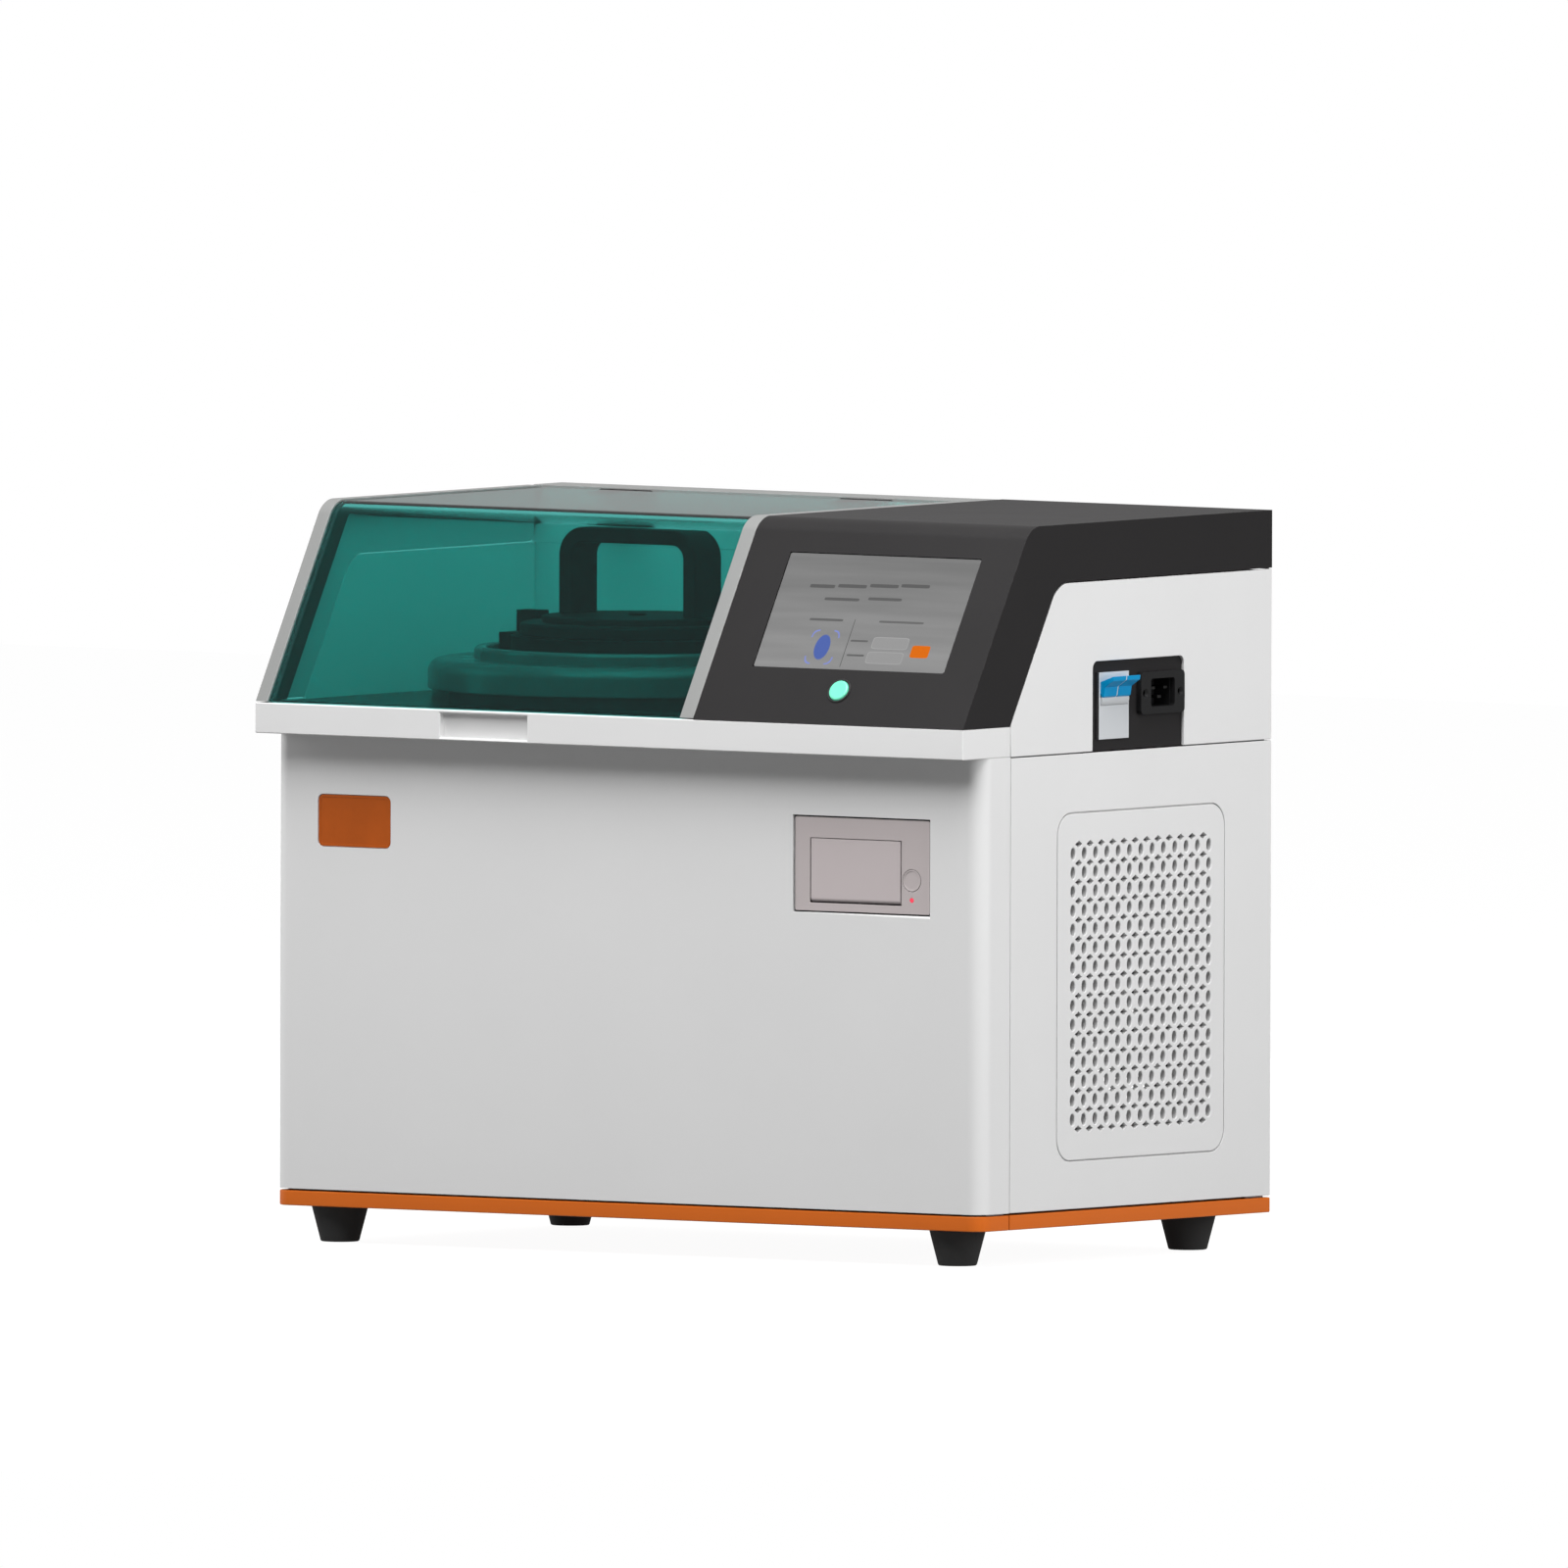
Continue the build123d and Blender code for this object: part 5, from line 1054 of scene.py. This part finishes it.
class BuildBeam(bpy.types.Operator):
    """Grey beam across the rear, open below, with a front under the cover in white paint darkened as painted
    shade.
    """

    bl_idname = "analyzer.beam"
    bl_label = "Rear beam"

    def execute(self, context):
        low, high = limits("rear_beam")
        sheet, rear_round = size("sheet"), 4.0
        beam = add_block(low, high, "hinge_beam")
        round_edges(beam, edges_at(0, y=high[1], z=high[2]), rear_round, 8)
        hollow_low = (low[0] + sheet, low[1] + sheet, low[2] - FAR)
        soften(cut(beam, add_block(hollow_low, [value - sheet for value in high])))
        inner_top = TOP_Z - size("frame_thickness")
        slice_at(beam, (0.0, 0.0, inner_top), (0.0, 0.0, 1.0), trims=False)
        finish(beam, "frame_grey", paint("frame_grey"), "rear_beam")

        def inner_front(at, normal):
            return normal.y < -0.9 and at.y < low[1] + 0.5 and at.z < inner_top

        # The beam's front under the cover gets the white paint darkened as painted shade
        paint_part(beam, paint("inner"), inner_front)
        return {"FINISHED"}


class BuildBadge(bpy.types.Operator):
    """Bare orange plate in its pocket."""

    bl_idname = "analyzer.badge"
    bl_label = "Plate"

    def execute(self, context):
        plate = rounded_bar(*limits("badge_plate"), PLATE_CORNER, 1, 12, "front_plate")
        rim, depth = 1.6, 0.25
        sink(plate, (0.0, -1.0, 0.0), rim, depth)
        finish(soften(plate, 0.2), "badge_orange", paint("plate"), "badge_plate")
        return {"FINISHED"}


class BuildPrinter(bpy.types.Operator):
    """Panel printer: bezel, feed key and lamp."""

    bl_idname = "analyzer.printer"
    bl_label = "Printer"

    def execute(self, context):
        low, high = limits("printer_bezel")
        door_low, door_high = limits("printer_door")
        key, lamp = centre_of("printer_button"), centre_of("printer_lamp")
        start, end = low[1] - FAR, high[1] + FAR
        flange, corner, flange_front, flange_back = 5.0, 1.2, 1.5, 3.5
        bezel = rounded_bar(
            *around("printer_bezel", -flange, 1, low[1], high[1]), corner, 1, name="printer_face"
        )
        back = add_block(*around("printer_bezel", 0.0, 1, low[1] + flange_front, low[1] + flange_back))
        ledge, door_gap, key_bore, lamp_bore = 2.0, 0.4, 7.5, 1.6
        cutters = (
            add_block(
                (door_low[0] + ledge, start, door_low[2] - door_gap),
                (door_high[0] - ledge, end, door_high[2] + door_gap),
            ),
            add_rod(key, 1, start, end, key_bore),
            add_rod(lamp, 1, start, end, lamp_bore, 32),
        )
        cut(bezel, *cutters, keep=True)
        cut(back, *cutters)
        weld(soften(bezel, 0.4), back)
        finish(bezel, "printer_grey", paint("printer"), "printer_bezel")
        paint_part(bezel, paint("black"), lambda at, normal: at.y > low[1] + flange_front - NEAR)

        low, high = limits("printer_button")
        cap = add_rod(key, 1, high[1], low[1], size("feed_radius"), 64, "feed_key")
        dish_rim, dish_depth = 1.0, 0.3
        sink(cap, (0.0, -1.0, 0.0), dish_rim, dish_depth)
        finish(soften(cap, 0.4, 3), "printer_grey", paint("printer"), "printer_button", body="feed_cap")
        low, high = limits("printer_lamp")
        lamp_radius = 1.5
        led = add_rod(lamp, 1, high[1], low[1], lamp_radius, 32, "printer_led")
        finish(soften(led, 0.4, 3), "lamp_red", paint("lamp"), "printer_lamp")
        return {"FINISHED"}


# Planes that trim the breaker's lever and the notch below its lip, as (across, up, tilt) from its axis
LEVER_PLANES = ((14.3, 15.7, -20.0), (13.9, 13.0, 97.0), (5.4, 1.6, 146.0))
NOTCH_PLANES = ((7.2, 8.2, -33.4), (7.2, 8.2, -80.8))
# The blocks that they trim, as (across, up) of two corners
LEVER_BLOCK = ((-2.0, 0.8), (16.0, 18.0))
NOTCH_BLOCK = ((4.0, -2.0), (20.0, 14.0))


def trim(piece, hub, planes, shift):
    """Cuts a piece back to planes round an axis; shift moves them along their normals."""
    for across, up, tilt in planes:
        normal = Vector((math.sin(math.radians(tilt)), 0.0, math.cos(math.radians(tilt))))
        slice_at(piece, Vector((hub[0] + across, 0.0, hub[1] + up)) + normal * shift, normal)
    return piece


def lever_form(name, hub, y0, y1, inset):
    """Part of the breaker's lever between two places along its axis."""

    def block(corners, start, end, name="cutter"):
        (x0, z0), (x1, z1) = corners
        return add_block((hub[0] + x0, start, hub[1] + z0), (hub[0] + x1, end, hub[1] + z1), name)

    form = trim(block(LEVER_BLOCK, y0, y1, name), hub, LEVER_PLANES, -inset)
    notch = trim(block(NOTCH_BLOCK, y0 - 1.0, y1 + 1.0), hub, NOTCH_PLANES, inset)
    return cut(form, notch)


class BuildBreaker(bpy.types.Operator):
    """Breaker face with its blue lever."""

    bl_idname = "analyzer.breaker"
    bl_label = "Breaker"

    def execute(self, context):
        low, high = limits("circuit_breaker")
        strip, longer, hub_depth, hub_height = 2.8, 1.6, 3.5, 26.5
        face_y = low[1] + strip
        high[1] += longer
        hub = (high[0] - hub_depth, low[2] + hub_height)
        front_gap, rear_gap = 1.8, 1.6
        y0, y1 = face_y + front_gap, high[1] - rear_gap
        drum, drum_gap = size("lever_drum"), 0.3
        axis = (hub[0], 0.0, hub[1])
        body = add_block(low, high, "breaker_body")
        cut(body, add_rod(axis, 1, y0 - drum_gap, y1 + drum_gap, drum + drum_gap))
        soften(body, 0.5)
        slice_at(body, (0.0, face_y, 0.0), (0.0, 1.0, 0.0), trims=False)
        finish(body, "breaker_silver", paint("silver"), "circuit_breaker")
        paint_part(body, paint("charcoal"), lambda at, normal: at.y < face_y)

        middle = (y0 + y1) / 2
        half, inset = 0.5, 0.3
        paddle = soften(lever_form("lever_paddle", hub, y0, middle - half, 0.0), 0.5, 3, 30.0)
        weld(paddle, copy_of(paddle, (0.0, middle + half - y0, 0.0)))
        finish(paddle, "lever_blue", paint("blue"), "breaker_lever", body="lever")
        barrel = soften(add_rod(axis, 1, y0, y1, drum, name="lever_hub"), 0.3)
        weld(barrel, lever_form("lever_divider", hub, middle - half, middle + half, inset))
        finish(barrel, "breaker_silver", paint("silver"), "breaker_lever", body="lever")
        return {"FINISHED"}


class BuildInlet(bpy.types.Operator):
    """Mains inlet with its screw holes and pins."""

    bl_idname = "analyzer.inlet"
    bl_label = "Mains inlet"

    def execute(self, context):
        low, high = limits("mains_inlet")
        _, y, z = centre_of("mains_inlet")

        def corners(x0, x1, half_size, y=y, z=z):
            return (x0, y - half_size[0], z - half_size[1]), (x1, y + half_size[0], z + half_size[1])

        flange, corner, opening_back, opening_corner = 4.0, 3.0, 9.0, 2.0
        opening_half, shell_half, hollow_half, pin_half = (13.6, 9.4), (14.0, 11.0), (13.2, 9.2), (2.0, 1.0)
        socket = rounded_bar((high[0] - flange, *low[1:]), high, corner, 0, name="inlet_flange")
        opening = corners(low[0] + opening_back, high[0] + FAR, opening_half)
        cut(socket, rounded_bar(*opening, opening_corner, 0))
        screw_place, bore, head, head_depth, proud = 20.0, 1.6, 3.4, 1.8, 0.2
        for screw_y in (y - screw_place, y + screw_place):
            place = (0.0, screw_y, z)
            cut(
                socket, add_rod(place, 0, high[0] - FAR, high[0] + FAR, bore, 32),
                add_rod(place, 0, high[0] - head_depth, high[0] + proud, bore, 32, end_radius=head),
            )
        soften(socket, 0.6, 3)
        floor_x, pin_x = high[0] - 17.0, high[0] - 3.0
        shell = add_block(*corners(low[0], high[0] - flange, shell_half))
        cut(shell, add_block(*corners(floor_x, high[0] + FAR, hollow_half)))
        weld(socket, soften(shell, 0.4))
        finish(socket, "inlet_black", paint("black"), "mains_inlet")

        across, up = 7.0, 3.0
        first = corners(floor_x, pin_x, pin_half, y - across, z + up)
        pins = soften(add_block(*first, "inlet_pins"), 0.4, 3)
        weld(pins, copy_of(pins, (0.0, 2 * across, 0.0)), copy_of(pins, (0.0, across, -2 * up)))
        finish(pins, "steel_bright", paint("dark_steel"), "mains_inlet")
        return {"FINISHED"}


class BuildVesselTop(bpy.types.Operator):
    """Collar round the vessel, and the handle on its lid."""

    bl_idname = "analyzer.vessel_top"
    bl_label = "Vessel top"

    def execute(self, context):
        low, high = limits("vessel_collar")
        radius, shoulder = (high[0] - low[0]) / 2, size("collar_round")
        bore, chamfer = 67.0, 0.8
        lip_outer, lip_inner, lip_height, lip_round = 108.0, 100.0, 8.0, 3.0
        top, lip_z = high[2] - lip_height, high[2] - lip_round
        collar = lathe("vessel_collar_ring", centre_of("vessel_collar"), [
            (bore, low[2]), (radius - chamfer, low[2]), (radius, low[2] + chamfer),
            *arc((radius - shoulder, top - shoulder), shoulder, 0, 90, 14),
            (lip_outer, top), (lip_outer, lip_z),
            *arc((lip_outer - lip_round, lip_z), lip_round, 10, 90, 5),
            *arc((lip_inner + lip_round, lip_z), lip_round, 90, 170, 5),
            (lip_inner, top), (bore, top), (bore, low[2]),
        ], 160)
        finish(collar, "collar_light", paint("collar"), "vessel_collar")

        low, high = limits("lid_handle")
        left_longer = 0.5
        low[0] -= left_longer
        high[0] += size("handle_longer")
        high[2] += size("handle_higher")
        bar = size("handle_thickness")
        handle = add_block(low, high, "handle_arch")
        round_edges(handle, edges_at(1, z=high[2]), size("handle_outer"), 20)
        gap = add_block(
            (low[0] + bar, low[1] - FAR, low[2] - FAR), (high[0] - bar, high[1] + FAR, high[2] - bar)
        )
        round_edges(gap, edges_at(1, z=high[2] - bar), size("handle_inner"), 16)
        soften(cut(handle, gap), size("soft_round"), 4)
        finish(handle, "lid_dark", paint("lid"), "lid_handle", body="vessel_lid_set")
        return {"FINISHED"}


def smooth_group():
    """Modifier group: shades every face smooth."""
    group = bpy.data.node_groups.new("smooth_faces", "GeometryNodeTree")
    for way in ("INPUT", "OUTPUT"):
        group.interface.new_socket(name="Geometry", in_out=way, socket_type="NodeSocketGeometry")
    entry = group.nodes.new("NodeGroupInput")
    smooth = group.nodes.new("GeometryNodeSetShadeSmooth")
    leaving = group.nodes.new("NodeGroupOutput")
    feed(group, smooth, {"Geometry": entry.outputs[0]})
    feed(group, leaving, {0: smooth.outputs[0]})
    return group


# Finishes of the nodes that are carried over
CARRIED = {
    "rubber": ("platen_roller", "lid_gasket"),
    "white": ("rear_cover", "rear_upper_cover"),
    # The divider and back wall get the white paint darkened as painted shade
    "inner": ("divider_wall", "chamber_back_wall"),
    "door": ("printer_door",),
    "black": ("printer_housing", "fan_housing", "fan_rotor"),
    "deck": ("deck_plate", "collar_base_ring"),
    "charcoal": ("power_plate",),
    "lid": ("locking_ring", "vessel_lid", "agitator_motor"),
    "zinc": ("chassis_frame", "screen_module", "power_supply", "motor_stand"),
    "dark_steel": ("hinge_brackets", "hinge_arms"),
    "steel": ("vessel", "bag_suspender", "agitator", "rear_screws"),
    "brass": ("band_heater", "agitator_seal", "solenoid_valves", "hose_ports"),
    "wool": ("insulation_jacket",),
    "board": ("control_board",),
    "pump": ("reagent_pump",),
}


class PaintNodes(bpy.types.Operator):
    """Finishes of the nodes that are carried over, with small rounds on their edges."""

    bl_idname = "analyzer.carried"
    bl_label = "Carried nodes"

    def execute(self, context):
        rounds = dict(width=0.3 * MM, segments=2, limit_method="ANGLE", angle_limit=math.radians(SHARP))
        steps = (
            ("Join", "WELD", dict(merge_threshold=SAME * MM)),
            ("Edge", "BEVEL", rounds),
            ("Smooth", "NODES", dict(node_group=smooth_group())),
            ("Level", "WEIGHTED_NORMAL", dict(weight=50)),
        )
        for key, names in CARRIED.items():
            for name in names:
                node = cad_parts[name]
                node.data.materials.clear()
                node.data.materials.append(paint(key))
                for label, kind, settings in steps:
                    modifier = node.modifiers.new(label, kind)
                    for setting, value in settings.items():
                        setattr(modifier, setting, value)
        return {"FINISHED"}


# Stage: lamps as (name, place in metres, watts, width, whether it shows in reflections)
LAMPS = (
    ("key_lamp", (0.3, -0.95, 2.1), 92.0, 2.1, True),
    ("side_lamp", (2.1, 0.1, 0.75), 29.5, 1.5, False),
    ("fill_lamp", (-2.0, -0.4, 0.8), 28.0, 1.6, False),
    ("rear_lamp", (-0.4, 2.1, 0.8), 34.0, 1.8, False),
)
LAMP_AIM = Vector((0.0, 0.0, 0.25))
CAMERA_AIM = Vector((0.0113, 0.008, 0.3061))
CAMERA_AWAY = 3.0
WHITE = (1.0, 1.0, 1.0, 1.0)
# Span of the floor in metres, glow of the floor, light of the room, and the share of both that is reflected
FLOOR_SPAN, FLOOR_GLOW, ROOM_LIGHT, REFLECTED = 12.0, 0.95, 0.05, 0.34


def seen_directly(tree):
    """Mask of rays from the camera and through clear material, and a share of it for reflections."""
    ray = add_node(tree, "LightPath").outputs
    seen = calculate(tree, "MAXIMUM", ray["Is Camera Ray"], ray["Is Transmission Ray"])
    return calculate(tree, "MAXIMUM", seen, calculate(tree, "MULTIPLY", ray["Is Glossy Ray"], REFLECTED))


class BuildStage(bpy.types.Operator):
    """Pale floor, white background, soft lamps and the camera."""

    bl_idname = "analyzer.stage"
    bl_label = "Stage"

    def execute(self, context):
        take()
        bpy.ops.mesh.primitive_plane_add(size=FLOOR_SPAN, location=(0.0, 0.0, -0.5 * MM))
        floor = bpy.context.active_object
        floor.name = "floor"
        material = bpy.data.materials.new("floor_white")
        material.use_nodes = True
        tree = material.node_tree
        feed(tree, tree.nodes["Principled BSDF"], {
            "Base Color": tint("floor"), "Roughness": 0.9, "Emission Color": WHITE,
            "Emission Strength": calculate(tree, "MULTIPLY", seen_directly(tree), FLOOR_GLOW),
        })
        floor.data.materials.append(material)

        scene = context.scene
        scene.world = bpy.data.worlds.new("studio")
        scene.world.use_nodes = True
        tree = scene.world.node_tree
        soft = tree.nodes["Background"]
        feed(tree, soft, {"Color": WHITE, "Strength": ROOM_LIGHT})
        bright = add_node(tree, "Background", {"Color": WHITE, "Strength": 1.0})
        sources = {0: seen_directly(tree), 1: soft.outputs[0], 2: bright.outputs[0]}
        both = add_node(tree, "MixShader", sources)
        feed(tree, tree.nodes["World Output"], {"Surface": both.outputs[0]})

        for name, place, power, width, shows in LAMPS:
            lamp = bpy.data.lights.new(name, "AREA")
            lamp.energy, lamp.size = power, width
            holder = bpy.data.objects.new(name, lamp)
            scene.collection.objects.link(holder)
            holder.location = place
            holder.visible_glossy = shows
            holder.rotation_mode = "QUATERNION"
            holder.rotation_quaternion = (LAMP_AIM - Vector(place)).to_track_quat("-Z", "Y")

        azimuth, elevation = sizes().camera_azimuth, sizes().camera_elevation
        level = math.cos(elevation)
        back = Vector((math.sin(azimuth) * level, -math.cos(azimuth) * level, math.sin(elevation)))
        lens = bpy.data.cameras.new("camera")
        lens.type = "ORTHO"
        lens.ortho_scale = sizes().camera_width
        camera = bpy.data.objects.new("camera", lens)
        scene.collection.objects.link(camera)
        turn = (-back).to_track_quat("-Z", "Y").to_matrix().to_4x4()
        roll = Matrix.Rotation(sizes().camera_roll, 4, "Z")
        camera.matrix_world = Matrix.Translation(CAMERA_AIM + back * CAMERA_AWAY) @ turn @ roll
        scene.camera = camera
        scene.view_settings.view_transform = "Standard"
        return {"FINISHED"}


STEPS = (
    BuildStage, BuildBase, BuildFeet, BuildCovers, BuildVent, BuildRim, BuildHood, BuildScreen, BuildCover,
    BuildBeam, BuildBadge, BuildPrinter, BuildBreaker, BuildInlet, BuildVesselTop, PaintNodes,
)


class AnalyzerPanel(bpy.types.Panel):
    """Sizes, colours and steps of the analyzer."""

    bl_idname = "ANALYZER_PT_panel"
    bl_label = "Fiber Analyzer"
    bl_space_type = "VIEW_3D"
    bl_region_type = "UI"
    bl_category = "Analyzer"

    def draw(self, context):
        for group in (context.scene.analyzer_sizes, context.scene.analyzer_colours):
            column = self.layout.column()
            for name in group.__annotations__:
                column.prop(group, name)
        for step in STEPS:
            self.layout.operator(step.bl_idname)


CLASSES = (AnalyzerSizes, AnalyzerColours, *STEPS, AnalyzerPanel)


def register():
    """Registers the classes and their settings."""
    for item in CLASSES:
        bpy.utils.register_class(item)
    bpy.types.Scene.analyzer_sizes = PointerProperty(type=AnalyzerSizes)
    bpy.types.Scene.analyzer_colours = PointerProperty(type=AnalyzerColours)


def unregister():
    """Removes the settings and the classes."""
    del bpy.types.Scene.analyzer_colours
    del bpy.types.Scene.analyzer_sizes
    for item in reversed(CLASSES):
        bpy.utils.unregister_class(item)


def main():
    """Runs every step in order."""
    register()
    for step in STEPS:
        group, name = step.bl_idname.split(".")
        getattr(getattr(bpy.ops, group), name)()


if __name__ == "__main__":
    main()
